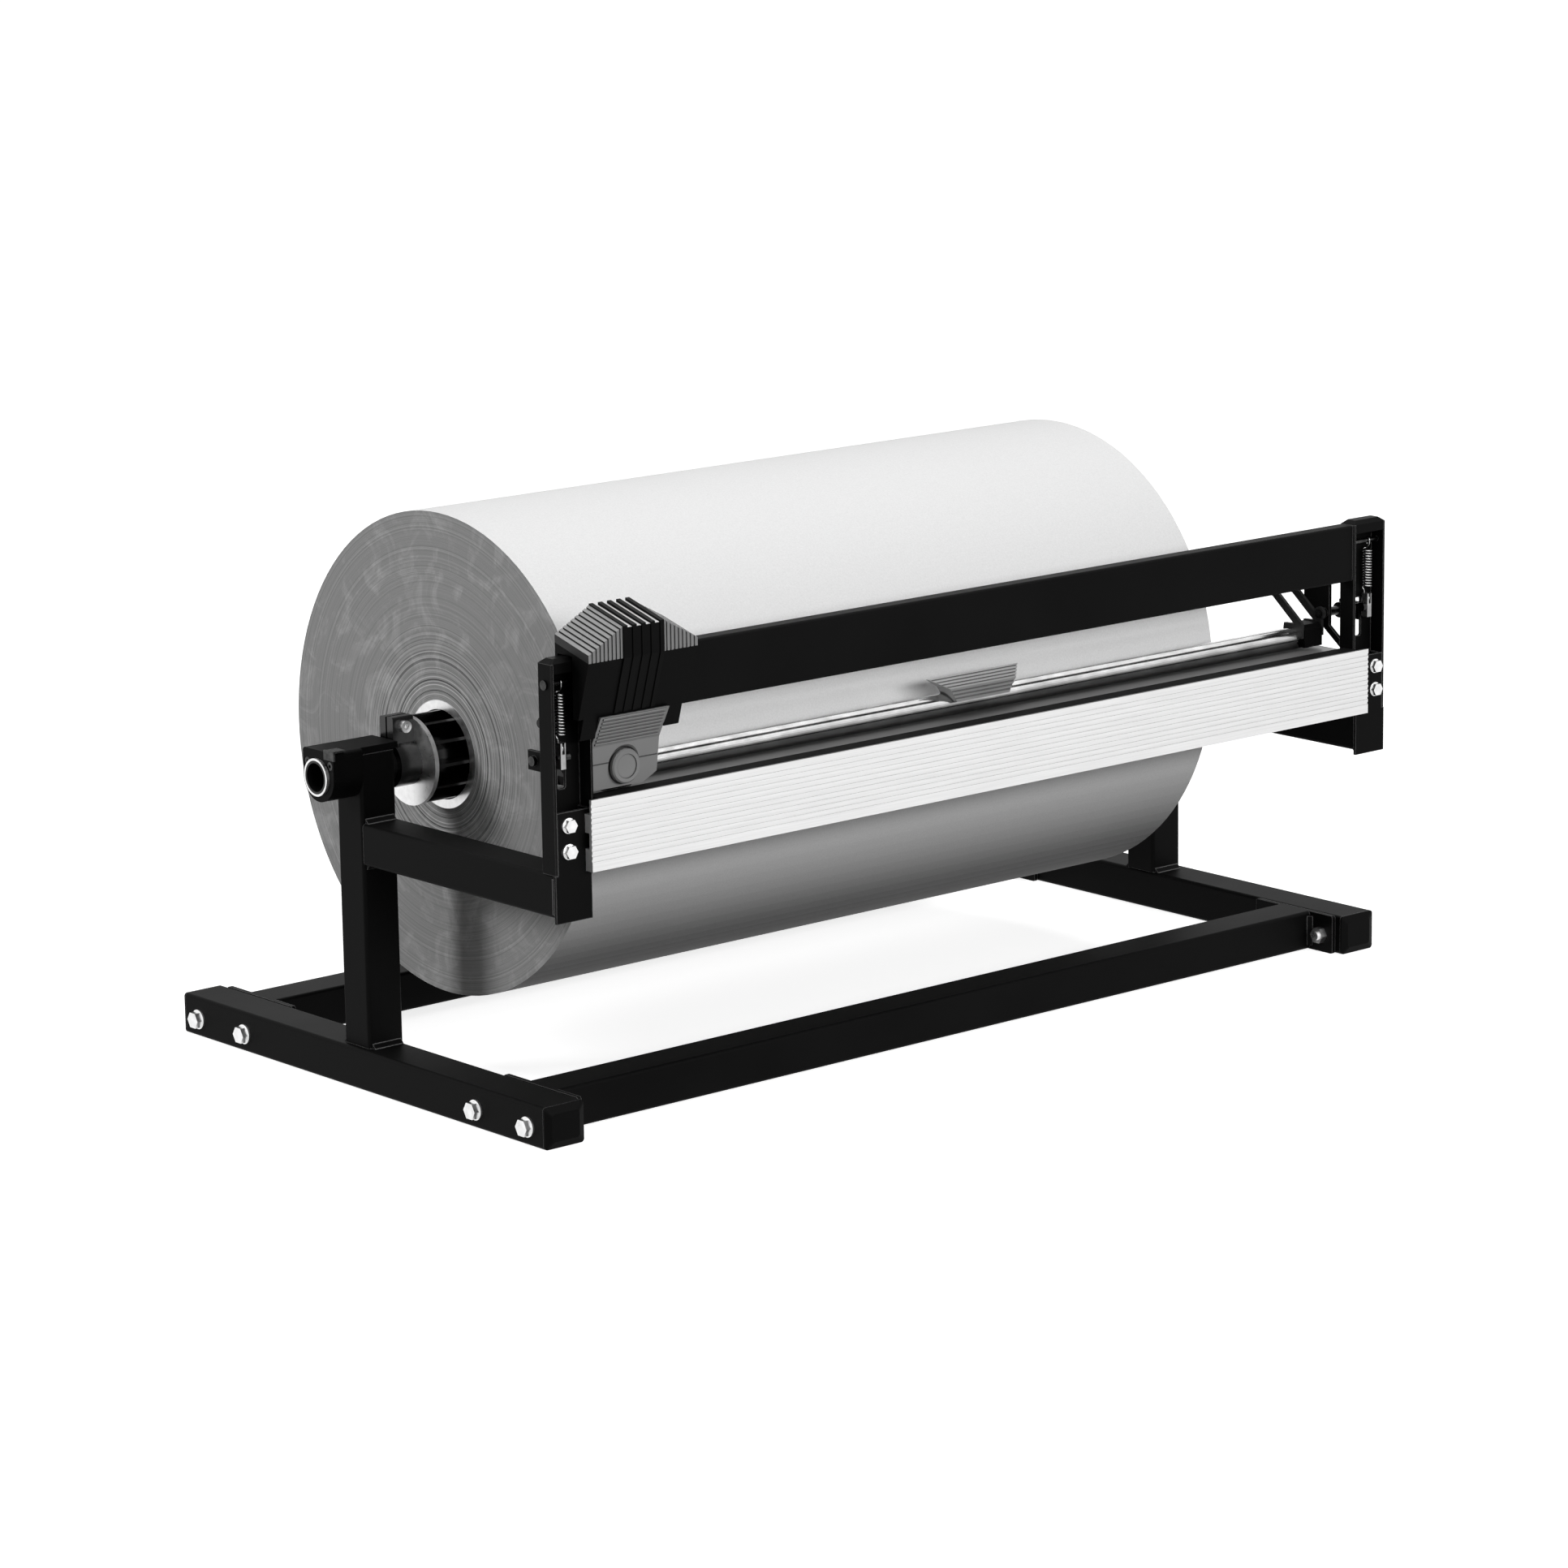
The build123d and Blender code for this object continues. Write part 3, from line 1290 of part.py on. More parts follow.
with BuildPart() as head_cover:
    with BuildSketch(plane_x(head_park - cover_width / 2)):
        with BuildLine():
            Polyline(
                cover_top, cover_bend, cover_foot, (cover_back, cover_foot[1]), (cover_back, cover_bend[1] + 2),
                (cover_bend[0] + cover_wall, cover_bend[1]), (cover_top[0] + cover_wall, cover_top[1]),
                close=True,
            )
        make_face()
    extrude(amount=cover_width)
    with BuildSketch(plane_x(head_park - cover_width / 2 + 2.5)):
        with BuildLine():
            Polyline(
                (cover_top[0] + cover_wall, cover_top[1] + 1), (cover_top[0] + cover_wall, cover_top[1] - 0.6),
                (cover_bend[0] + 2.7, cover_bend[1] - 1),
                (cover_foot[0] + 2.4, cover_foot[1] + 2), (cover_back + 5, cover_foot[1] + 2),
                (cover_back + 5, cover_top[1] + 1), close=True,
            )
        make_face()
    extrude(amount=cover_width - 5, mode=Mode.SUBTRACT)
    # cut-off lower corners
    with BuildSketch(plane_y(cover_back + 10)):
        with BuildLine():
            Polyline(
                (head_park + cover_width / 2 + 1, cover_foot[1] - 1),
                (head_park + cover_width / 2 - 13, cover_foot[1] - 1),
                (head_park + cover_width / 2 - 13, cover_foot[1]),
                (head_park + cover_width / 2 + 1, cover_foot[1] + 8), close=True,
            )
        make_face()
        with BuildLine():
            Polyline(
                (head_park - cover_width / 2 - 1, cover_foot[1] - 1),
                (head_park - cover_width / 2 + 5, cover_foot[1] - 1),
                (head_park - cover_width / 2 - 1, cover_foot[1] + 5), close=True,
            )
        make_face()
    extrude(amount=60, mode=Mode.SUBTRACT)
    # grip ribs on the slope, and the line where the lower shell starts
    cover_run = Vector(0, cover_bend[0] - cover_top[0], cover_bend[1] - cover_top[1])
    for rib in range(cover_ribs):
        share = (rib + 0.7) / (cover_ribs + 0.6)
        with BuildSketch(plane_x(head_park - cover_width / 2 + 3)):
            with Locations((cover_top[0] + share * cover_run.Y, cover_top[1] + share * cover_run.Z)):
                Circle(cover_rib_r)
        extrude(amount=cover_width - 6)
    with BuildSketch(plane_x(head_park - cover_width / 2 - 1)):
        with Locations((cover_foot[0] - 3.2, cover_foot[1] + cover_groove_up)):
            Rectangle(cover_groove, cover_groove / 2)
    extrude(amount=cover_width + 2, mode=Mode.SUBTRACT)
    # the button's hole, with room behind for its rim
    with BuildSketch(plane_y(cover_back + 10)):
        with Locations((head_park, blade_z)):
            Circle(button_r + running_gap)
    extrude(amount=60, mode=Mode.SUBTRACT)
    with BuildSketch(plane_y(cover_back + 10)):
        with Locations((head_park, blade_z)):
            Circle(button_r + button_lip + 0.4)
    extrude(amount=10 + cover_back - cover_foot[0] - 0.9, mode=Mode.SUBTRACT)
    # the hole flares towards the front, most at its top, where the cover leans out over the cap
    with BuildSketch(plane_y(button_surface + button_flare)):
        with Locations((head_park, blade_z)):
            Circle(button_r + running_gap)
    extrude(amount=3 * button_flare, taper=-button_flare_angle, mode=Mode.SUBTRACT)
save(head_cover, "head_cover")

button_face = button_surface - button_proud
rim_front = cover_foot[0] + 1.1
with BuildPart() as button:
    with BuildSketch(plane_y(rim_front + button_rim)):
        with Locations((head_park, blade_z)):
            Circle(button_r)
    extrude(amount=rim_front + button_rim - button_face)
    chamfer(faces().sort_by(Axis.Y)[0].edges(), 1.2)
    with BuildSketch(plane_y(rim_front + button_rim)):
        with Locations((head_park, blade_z)):
            Circle(button_r + button_lip)
    extrude(amount=button_rim)
    # shallow dish in the cap
    with BuildSketch(plane_y(button_face + 0.8)):
        with Locations((head_park, blade_z)):
            Circle(button_r - 4)
    extrude(amount=2, mode=Mode.SUBTRACT)
save(button, "button")

yoke_z = screw_z - 4.5
leg_front = knife_y - 2.7
leg_back = knife_y + 4.5
leg_tip_z = blade_z - 13.0
with BuildPart() as head_carrier:
    with BuildSketch(plane_y(skin_front + carrier_front)):
        with Locations((head_park, yoke_z + carrier_flange / 2)):
            Rectangle(carrier_width, carrier_flange)
        for screw_x in screw_places:
            with Locations((screw_x, screw_z)):
                Circle(head_screw_r, mode=Mode.SUBTRACT)
    extrude(amount=carrier_front)
    with BuildSketch(Plane.XY.offset(yoke_z)):
        with Locations((head_park, (skin_front + leg_back + carrier_sheet) / 2)):
            Rectangle(carrier_width, leg_back + carrier_sheet - skin_front)
    extrude(amount=carrier_sheet)
    for leg_y, leg_thick in (
        (leg_front + carrier_leg_front, carrier_leg_front), (leg_back + carrier_sheet, carrier_sheet)
    ):
        with BuildSketch(plane_y(leg_y)):
            with BuildLine():
                Polyline(
                    (head_park - carrier_leg_root, yoke_z + 1), (head_park + carrier_leg_root, yoke_z + 1),
                    (head_park + carrier_leg_tip, leg_tip_z), (head_park - carrier_leg_tip, leg_tip_z),
                    close=True,
                )
            make_face()
            with Locations((head_park, blade_z)):
                Circle(axle_r, mode=Mode.SUBTRACT)
        extrude(amount=leg_thick)
save(head_carrier, "head_carrier")

with BuildPart() as blade_axle:
    with BuildSketch(plane_y(leg_back + 3)):
        with Locations((head_park, blade_z)):
            Circle(axle_r)
    extrude(amount=leg_back + 3 - leg_front)
    with BuildSketch(plane_y(leg_back + 3)):
        with Locations((head_park, blade_z)):
            Circle(axle_r + 2)
    extrude(amount=1)
save(blade_axle, "blade_axle")

with BuildPart() as blade:
    with BuildSketch(plane_y(knife_y + blade_thick / 2)):
        with Locations((head_park, blade_z)):
            Circle(blade_r)
    extrude(amount=blade_thick)
    chamfer(edges().filter_by(GeomType.CIRCLE), 0.4, 3)
    with BuildSketch(plane_y(leg_back - side_gap)):
        with Locations((head_park, blade_z)):
            Circle(axle_r + 4)
    extrude(amount=leg_back - leg_front - carrier_leg_front - 2 * side_gap)
    with BuildSketch(plane_y(knife_y + 10)):
        with Locations((head_park, blade_z)):
            Circle(axle_r + running_gap)
    extrude(amount=20, mode=Mode.SUBTRACT)
save(blade, "blade")

with BuildPart() as head_glides:
    for glide_x in (head_park - glide_out, head_park + glide_out):
        with BuildSketch(plane_y(bar_front - running_gap)):
            with Locations((glide_x, post_top - crossbar_height / 2)):
                Rectangle(glide_length, glide_height)
        extrude(amount=bar_front - running_gap - skin_front)
        with BuildSketch(plane_y(skirt_in)):
            with Locations((glide_x, post_top - glide_depth)):
                Rectangle(glide_length, glide_length)
        extrude(amount=skirt_in - bar_back - running_gap)
        with BuildSketch(Plane.XY.offset(post_top + running_gap)):
            with Locations((glide_x, (bar_front + bar_back) / 2)):
                Rectangle(glide_length, glide_depth)
        extrude(amount=skin_top - post_top - running_gap)
        with BuildSketch(Plane.XY.offset(yoke_z + carrier_sheet)):
            with Locations(((glide_x + head_park) / 2, (bar_front + bar_back) / 2)):
                Rectangle(glide_length, glide_depth)
        extrude(amount=post_top - crossbar_height - running_gap - yoke_z - carrier_sheet)
save(head_glides, "head_glides")

with BuildPart() as head_screws:
    for screw_x in screw_places:
        seat = Plane(origin=(screw_x, skin_front + carrier_front, screw_z), x_dir=(1, 0, 0), z_dir=(0, 1, 0))
        with BuildSketch(seat):
            Circle(head_screw_head_r)
        extrude(amount=1.4)
        with BuildSketch(seat):
            Circle(head_screw_r)
        extrude(amount=-3.6)
save(head_screws, "head_screws")
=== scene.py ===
import json
import math

import bpy
from mathutils import Matrix, Vector


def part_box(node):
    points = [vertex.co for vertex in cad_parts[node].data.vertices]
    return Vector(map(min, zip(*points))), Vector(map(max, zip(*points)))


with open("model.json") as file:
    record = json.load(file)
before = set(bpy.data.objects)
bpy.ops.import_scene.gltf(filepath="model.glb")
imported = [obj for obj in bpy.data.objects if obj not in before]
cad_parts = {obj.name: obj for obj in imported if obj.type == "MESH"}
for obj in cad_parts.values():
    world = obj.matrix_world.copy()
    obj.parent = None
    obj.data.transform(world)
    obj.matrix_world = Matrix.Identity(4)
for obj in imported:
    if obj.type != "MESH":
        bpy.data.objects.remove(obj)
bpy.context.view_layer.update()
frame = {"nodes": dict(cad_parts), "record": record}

scene = bpy.context.scene

# ---------------------------------------------------------------- the camera
# worked out from the straight edges of the frame in the photograph
LENS_MM = 122.76
SENSOR_MM = 36.0
CLIP_END = 60.0
CAMERA_YAW = math.radians(40.380)
CAMERA_PITCH = math.radians(12.408)
CAMERA_ROLL = math.radians(-0.877)
CAMERA_AT = Vector((-2.9752, -3.4717, 1.1947))


def make_camera():
    data = bpy.data.cameras.new("camera")
    data.lens = LENS_MM
    data.sensor_width = SENSOR_MM
    data.clip_end = CLIP_END
    cy, sy = math.cos(CAMERA_YAW), math.sin(CAMERA_YAW)
    cp, sp = math.cos(CAMERA_PITCH), math.sin(CAMERA_PITCH)
    forward = Vector((sy * cp, cy * cp, -sp))
    right = Vector((cy, -sy, 0.0))
    up = right.cross(forward)
    cr, sr = math.cos(CAMERA_ROLL), math.sin(CAMERA_ROLL)
    tilted_right = cr * right + sr * up
    tilted_up = cr * up - sr * right
    turn = Matrix((tilted_right, tilted_up, -forward)).transposed()
    camera = bpy.data.objects.new("camera", data)
    camera.matrix_world = Matrix.Translation(CAMERA_AT) @ turn.to_4x4()
    scene.collection.objects.link(camera)
    scene.camera = camera


# ------------------------------------------------------- pieces of a pattern
def grey(value):
    return (value, value, value, 1.0)


def feed(tree, source, socket):
    """Link another node's output to a socket, or set the socket to a plain value."""
    if isinstance(source, bpy.types.NodeSocket):
        tree.links.new(source, socket)
    else:
        socket.default_value = source


def calculate(tree, operation, *terms):
    """Arithmetic on sockets or numbers."""
    made = tree.nodes.new("ShaderNodeMath")
    made.operation = operation
    for socket, term in zip(made.inputs, terms):
        feed(tree, term, socket)
    return made.outputs["Value"]


def calculate_vector(tree, operation, *terms, result="Value"):
    """The same for vectors; the result is a number unless it is asked for as a Vector."""
    made = tree.nodes.new("ShaderNodeVectorMath")
    made.operation = operation
    for socket, term in zip(made.inputs, terms):
        feed(tree, term, socket)
    return made.outputs[result]


def rescale(tree, source, from_low=0.0, from_high=1.0, to_low=0.0, to_high=1.0):
    """Carry one span of a number over to another, and hold it at the ends."""
    made = tree.nodes.new("ShaderNodeMapRange")
    made.inputs["From Min"].default_value = from_low
    made.inputs["From Max"].default_value = from_high
    made.inputs["To Min"].default_value = to_low
    made.inputs["To Max"].default_value = to_high
    tree.links.new(source, made.inputs["Value"])
    return made.outputs["Result"]


def mix(tree, factor, first, second, blend="MIX"):
    """Go from the first colour to the second."""
    made = tree.nodes.new("ShaderNodeMix")
    made.data_type = "RGBA"
    made.blend_type = blend
    feed(tree, factor, made.inputs["Factor"])
    feed(tree, first, made.inputs["A"])
    feed(tree, second, made.inputs["B"])
    return made.outputs["Result"]


def multiply(tree, colour, tint):
    return mix(tree, 1.0, colour, tint, "MULTIPLY")


def ramp(tree, source, low, high, dark, light):
    """A grey between dark and light, while the source goes from low to high."""
    made = tree.nodes.new("ShaderNodeValToRGB")
    start, end = made.color_ramp.elements
    start.position = low
    end.position = high
    start.color = grey(dark)
    end.color = grey(light)
    tree.links.new(source, made.inputs["Fac"])
    return made.outputs["Color"]


def place_on_piece(tree):
    """Where a point is on its piece, which moves with the piece."""
    return tree.nodes.new("ShaderNodeTexCoord").outputs["Object"]


def normal_parts(tree):
    """The X, Y and Z of the direction in which a face looks."""
    geometry = tree.nodes.new("ShaderNodeNewGeometry")
    split = tree.nodes.new("ShaderNodeSeparateXYZ")
    tree.links.new(geometry.outputs["True Normal"], split.inputs["Vector"])
    return split.outputs


def noise(tree, scale, detail, roughness=0.5, place=None, distortion=0.0):
    made = tree.nodes.new("ShaderNodeTexNoise")
    made.inputs["Scale"].default_value = scale
    made.inputs["Detail"].default_value = detail
    made.inputs["Roughness"].default_value = roughness
    made.inputs["Distortion"].default_value = distortion
    tree.links.new(place or place_on_piece(tree), made.inputs["Vector"])
    return made.outputs["Fac"]


def openness(tree, distance):
    """1 in the open, less where something stands within the distance."""
    made = tree.nodes.new("ShaderNodeAmbientOcclusion")
    made.inputs["Distance"].default_value = distance
    return made.outputs["AO"]


def shader(name):
    """A new material, with its node tree and its Principled shader."""
    made = bpy.data.materials.new(name)
    made.use_nodes = True
    return made, made.node_tree, made.node_tree.nodes["Principled BSDF"]


def bump(tree, principled, height, strength, distance):
    made = tree.nodes.new("ShaderNodeBump")
    made.inputs["Strength"].default_value = strength
    made.inputs["Distance"].default_value = distance
    tree.links.new(height, made.inputs["Height"])
    tree.links.new(made.outputs["Normal"], principled.inputs["Normal"])


def colour_by_normal(tree, colour, amount, low, high, tint_low, tint_high):
    """Tint a colour by tint_low where a part of the normal is under low, tint_high over high."""
    return multiply(tree, colour, rescale(tree, amount, low, high, tint_low, tint_high))


# ------------------------------------------------------------- the materials
COAT_SHEEN = 0.045         # reflection of the black finishes, far below the default 0.5
DEFAULT_SHEEN = 0.3        # the same for moulded plastic
GROOVE = 0.0022            # how far a groove's walls are looked for, for the painted shade in grooves
GROOVE_DEEP, GROOVE_OPEN = 0.55, 0.95      # openness of a groove's floor and of a plain face
GRAIN = 1500.0             # scale of the fine grain on plastic
CLOUD_LOW, CLOUD_HIGH = 0.3, 0.7           # the part of a noise that carries a colour
EDGE_HIGHLIGHT_RADIUS = 0.0012       # how wide the painted highlight along a sharp edge is
EDGE_SHARP, EDGE_FLAT = 0.85, 0.99         # agreement of the softened normal with the true one
# paleness of the painted highlight on sharp edges
EDGE_HIGHLIGHT_GREY = 0.2
END_FACES, END_FACES_FULL = 0.9, 0.95      # a roof's end faces, by the size of the normal's X
END_FACES_TINT = 0.02


def powder_coat():
    """Satin black powder coat: fine orange peel, and a painted highlight that makes sharp edges a little
    paler.
    """
    made, tree, principled = shader("black_powder_coat")
    cloud = noise(tree, 9.0, 5.0)
    base = ramp(tree, cloud, CLOUD_LOW, 0.75, 0.002, 0.0055)
    # painted highlight on sharp edges: where a softened normal turns away from the true one
    soft = tree.nodes.new("ShaderNodeBevel")
    soft.inputs["Radius"].default_value = EDGE_HIGHLIGHT_RADIUS
    true = tree.nodes.new("ShaderNodeNewGeometry")
    agree = calculate_vector(tree, "DOT_PRODUCT", soft.outputs["Normal"], true.outputs["Normal"])
    edge_highlight = rescale(tree, agree, EDGE_FLAT, EDGE_SHARP)
    feed(tree, mix(tree, edge_highlight, base, grey(EDGE_HIGHLIGHT_GREY)), principled.inputs["Base Color"])
    feed(tree, rescale(tree, cloud, to_low=0.42, to_high=0.58), principled.inputs["Roughness"])
    principled.inputs["Specular IOR Level"].default_value = COAT_SHEEN
    bump(tree, principled, noise(tree, 900.0, 2.0), 0.12, 0.0004)
    return made


def moulded_plastic(name, greys, roughness, sheen=DEFAULT_SHEEN, groove_shade=0.0, dark_ends=False):
    """Moulded plastic with a fine grain, and painted shade that darkens what lies deep in a groove."""
    made, tree, principled = shader(name)
    cloud = noise(tree, 14.0, 5.0)
    colour = ramp(tree, cloud, CLOUD_LOW, CLOUD_HIGH, *greys)
    # painted shade deep in grooves, by how open each point is
    if groove_shade:
        depth = rescale(tree, openness(tree, GROOVE), GROOVE_DEEP, GROOVE_OPEN, 1.0 - groove_shade)
        colour = multiply(tree, colour, depth)
    if dark_ends:
        sideways = calculate(tree, "ABSOLUTE", normal_parts(tree)["X"])
        colour = colour_by_normal(tree, colour, sideways, END_FACES, END_FACES_FULL, 1.0, END_FACES_TINT)
    feed(tree, colour, principled.inputs["Base Color"])
    rough_low, rough_high = roughness
    feed(tree, rescale(tree, cloud, to_low=rough_low, to_high=rough_high), principled.inputs["Roughness"])
    principled.inputs["Specular IOR Level"].default_value = sheen
    bump(tree, principled, noise(tree, GRAIN, 2.0), 0.15, 0.0003)
    return made


def bare_metal(name, greys, roughness, scale, scratch=(1.0, 1.0, 1.0), depth=0.08, metallic=1.0, up_facing_painted_light=None):
    """Metal with a directional brush: scratch stretches the pattern along an axis.

    The last argument is low, high and two tints: painted light by the Z of the normal, the first tint where
    it is under low and the second where it is over high.
    """
    made, tree, principled = shader(name)
    principled.inputs["Metallic"].default_value = metallic
    stretch = tree.nodes.new("ShaderNodeMapping")
    stretch.inputs["Scale"].default_value = scratch
    tree.links.new(place_on_piece(tree), stretch.inputs["Vector"])
    brush = noise(tree, scale, 3.0, place=stretch.outputs["Vector"])
    colour = ramp(tree, brush, CLOUD_LOW, CLOUD_HIGH, *greys)
    if up_facing_painted_light:
        # painted light: a tint by how far the face looks up
        colour = colour_by_normal(tree, colour, normal_parts(tree)["Z"], *up_facing_painted_light)
    feed(tree, colour, principled.inputs["Base Color"])
    rough_low, rough_high = roughness
    feed(tree, rescale(tree, brush, to_low=rough_low, to_high=rough_high), principled.inputs["Roughness"])
    bump(tree, principled, brush, depth, 0.0002)
    return made


BAND_SLOPE = 0.275          # rise of the head's roof from front to back
BAND_HALF_RIB = 0.0014      # from the ribs' tops to half-way down to the valleys
BAND_UPWARD = 0.7           # the least Z of the normal of a face that looks up


def ribbed_band(top_back):
    """Black ribs with a painted reflection that makes the floor between them pale, on the sloping top of the
    cutter head.
    """
    made, tree, principled = shader("ribbed_band")
    place = tree.nodes.new("ShaderNodeSeparateXYZ")
    tree.links.new(place_on_piece(tree), place.inputs["Vector"])
    # height above a plane half-way between the ribs' tops and the valleys
    offset = BAND_SLOPE * top_back[1] - top_back[2] + BAND_HALF_RIB
    plane = calculate(tree, "MULTIPLY_ADD", place.outputs["Y"], -BAND_SLOPE, offset)
    above = calculate(tree, "ADD", place.outputs["Z"], plane)
    deep = calculate(tree, "LESS_THAN", above, 0.0)
    up_facing_painted_light = calculate(tree, "GREATER_THAN", normal_parts(tree)["Z"], BAND_UPWARD)
    valley_reflection_mask = calculate(tree, "MULTIPLY", deep, up_facing_painted_light)
    cloud = noise(tree, 30.0, 5.0)
    ribs = ramp(tree, cloud, CLOUD_LOW, CLOUD_HIGH, 0.002, 0.005)
    # painted reflection: the up-facing floor of the valleys is pale
    valleys = ramp(tree, cloud, CLOUD_LOW, CLOUD_HIGH, 0.72, 0.84)
    feed(tree, mix(tree, valley_reflection_mask, ribs, valleys), principled.inputs["Base Color"])
    feed(tree, rescale(tree, cloud, to_low=0.3, to_high=0.42), principled.inputs["Roughness"])
    principled.inputs["Specular IOR Level"].default_value = COAT_SHEEN
    bump(tree, principled, noise(tree, GRAIN, 2.0), 0.15, 0.0003)
    return made


RING_SCALE = 420.0          # windings per metre of radius, roughly
RINGS_NEAR, RINGS_FAR = 0.05, 0.115         # the radii between which the rings fade
RINGS_STRONG, RINGS_FAINT = 1.9, 0.3
RING_CONTRAST = 1.5
SCUFF_LOW, SCUFF_HIGH = 0.5, 0.78           # the part of a noise that shows as scuffs
SCUFF_PALE = 0.26
END_TONE = 0.42             # mean paleness of the roll's end
END_FACE_X = 0.5            # the least X of the normal of a face of the roll's end
PAINTED_SHADE_REACH = 0.22            # how far below the roll the counter still brings painted shade onto it
UNDER_STARTS, UNDER_FULL = -0.2, -0.85      # Z of the normal where that begins and is full
UNDER_CLOSED, UNDER_OPEN = 0.36, 0.9        # openness towards the counter
# darkest tint of the painted shade under the roll
PAINTED_SHADE_DARKEST = 0.04


def roll_end_tone(tree, radius):
    """The windings on the roll's end as a tone, and the rings by themselves for the relief."""
    rings = tree.nodes.new("ShaderNodeTexNoise")
    rings.noise_dimensions = "1D"
    rings.inputs["Scale"].default_value = RING_SCALE
    rings.inputs["Detail"].default_value = 6.0
    rings.inputs["Roughness"].default_value = 0.7
    tree.links.new(radius, rings.inputs["W"])
    relief = rings.outputs["Fac"]
    fade = rescale(tree, radius, RINGS_NEAR, RINGS_FAR, RINGS_STRONG, RINGS_FAINT)
    strength = calculate(tree, "MULTIPLY", calculate(tree, "SUBTRACT", relief, 0.5), fade)
    # long pale scuffs across the windings
    scuff = noise(tree, 26.0, 7.0, 0.65, distortion=1.4)
    scuffed = rescale(tree, scuff, SCUFF_LOW, SCUFF_HIGH, 0.0, SCUFF_PALE)
    shade = calculate(tree, "MULTIPLY_ADD", strength, RING_CONTRAST, scuffed)
    return calculate(tree, "ADD", shade, END_TONE), relief


def painted_underside_shade(tree, normal_z):
    """White all round the roll, with painted shade where its face looks down on the counter."""
    below = rescale(tree, normal_z, UNDER_STARTS, UNDER_FULL)
    painted_shade_tone = rescale(tree, openness(tree, PAINTED_SHADE_REACH), UNDER_CLOSED, UNDER_OPEN, PAINTED_SHADE_DARKEST)
    return mix(tree, below, grey(1.0), painted_shade_tone)


def wrapping_paper(axis_y, axis_z):
    """White paper: plain round the roll but for painted shade on its underside, with the windings showing on
    its ends.
    """
    made, tree, principled = shader("wrapping_paper")
    centred = tree.nodes.new("ShaderNodeMapping")
    centred.inputs["Location"].default_value = (0.0, -axis_y, -axis_z)
    tree.links.new(place_on_piece(tree), centred.inputs["Vector"])
    across = (0.0, 1.0, 1.0)
    flat = calculate_vector(tree, "MULTIPLY", centred.outputs["Vector"], across, result="Vector")
    tone, relief = roll_end_tone(tree, calculate_vector(tree, "LENGTH", flat))
    end_colour = tree.nodes.new("ShaderNodeCombineColor")
    for channel in ("Red", "Green", "Blue"):
        tree.links.new(tone, end_colour.inputs[channel])
    normal = normal_parts(tree)
    is_end = calculate(tree, "GREATER_THAN", calculate(tree, "ABSOLUTE", normal["X"]), END_FACE_X)
    sheet = ramp(tree, noise(tree, 700.0, 3.0), 0.25, 0.8, 0.80, 0.90)
    # painted shade on the roll's underside
    shaded = multiply(tree, sheet, painted_underside_shade(tree, normal["Z"]))
    feed(tree, mix(tree, is_end, shaded, end_colour.outputs["Color"]), principled.inputs["Base Color"])
    principled.inputs["Roughness"].default_value = 0.72
    bump(tree, principled, calculate(tree, "MULTIPLY", is_end, relief), 0.5, 0.0006)
    return made


spindle_low, spindle_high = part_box("spindle")
AXIS_Y = (spindle_low[1] + spindle_high[1]) / 2
AXIS_Z = (spindle_low[2] + spindle_high[2]) / 2

coat = powder_coat()
black = moulded_plastic("black_plastic", (0.0015, 0.0035), (0.38, 0.55), sheen=COAT_SHEEN)
glossy_black = moulded_plastic("glossy_black_plastic", (0.002, 0.005), (0.12, 0.22), sheen=0.5)
rubber = moulded_plastic("black_rubber", (0.003, 0.006), (0.6, 0.75), sheen=COAT_SHEEN)
nylon = moulded_plastic("white_nylon", (0.70, 0.78), (0.4, 0.5))
lever_paint = moulded_plastic("lever_steel", (0.02, 0.03), (0.3, 0.42), sheen=0.2)
spindle_paint = moulded_plastic("spindle_paint", (0.004, 0.009), (0.25, 0.4))
grey_moulding = moulded_plastic("grey_plastic", (0.32, 0.38), (0.42, 0.55), groove_shade=0.8)
roof_moulding = moulded_plastic("roof_plastic", (0.29, 0.35), (0.42, 0.55), groove_shade=0.75, dark_ends=True)
zinc = bare_metal("zinc_plate", (0.78, 0.94), (0.22, 0.38), 160.0)
dark_zinc = bare_metal("dull_steel", (0.30, 0.42), (0.32, 0.5), 160.0)
dark_steel = bare_metal("dark_steel", (0.03, 0.08), (0.2, 0.34), 160.0)
spring_wire = bare_metal("spring_wire", (0.30, 0.50), (0.12, 0.24), 300.0)
steel = bare_metal("blade_steel", (0.55, 0.70), (0.12, 0.22), 250.0)
bright_tube = bare_metal("bright_tube", (0.72, 0.86), (0.25, 0.36), 200.0)
# extruded along X, with painted shade on the faces that look up, a painted reflection of the dark parts above
# them
alloy = bare_metal(
    "extruded_aluminium", (0.88, 0.96), (0.36, 0.46), 900.0,
    scratch=(0.02, 1.0, 1.0), metallic=0.6, up_facing_painted_light=(0.5, 0.9, 1.0, 0.28),
)
# polished along X, with painted shade below, a painted reflection of the dark parts under it
chrome = bare_metal(
    "chrome", (0.62, 0.95), (0.10, 0.22), 120.0,
    scratch=(0.35, 1.0, 1.0), depth=0.05, up_facing_painted_light=(0.1, 0.45, 0.26, 1.0),
)
band = ribbed_band(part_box("head_spine")[1])
paper = wrapping_paper(AXIS_Y, AXIS_Z)

finish_of = {
    "frame_paint": coat, "black_plastic": black, "blackened_steel": dark_steel,
    "zinc_steel": zinc, "aluminium": alloy, "black_rubber": rubber, "chrome": chrome,
    "lever_steel": lever_paint, "spindle_black": spindle_paint, "grey_plastic": grey_moulding,
    "white_nylon": nylon, "blade_steel": steel, "core_card": bright_tube, "wrapping_paper": paper,
}
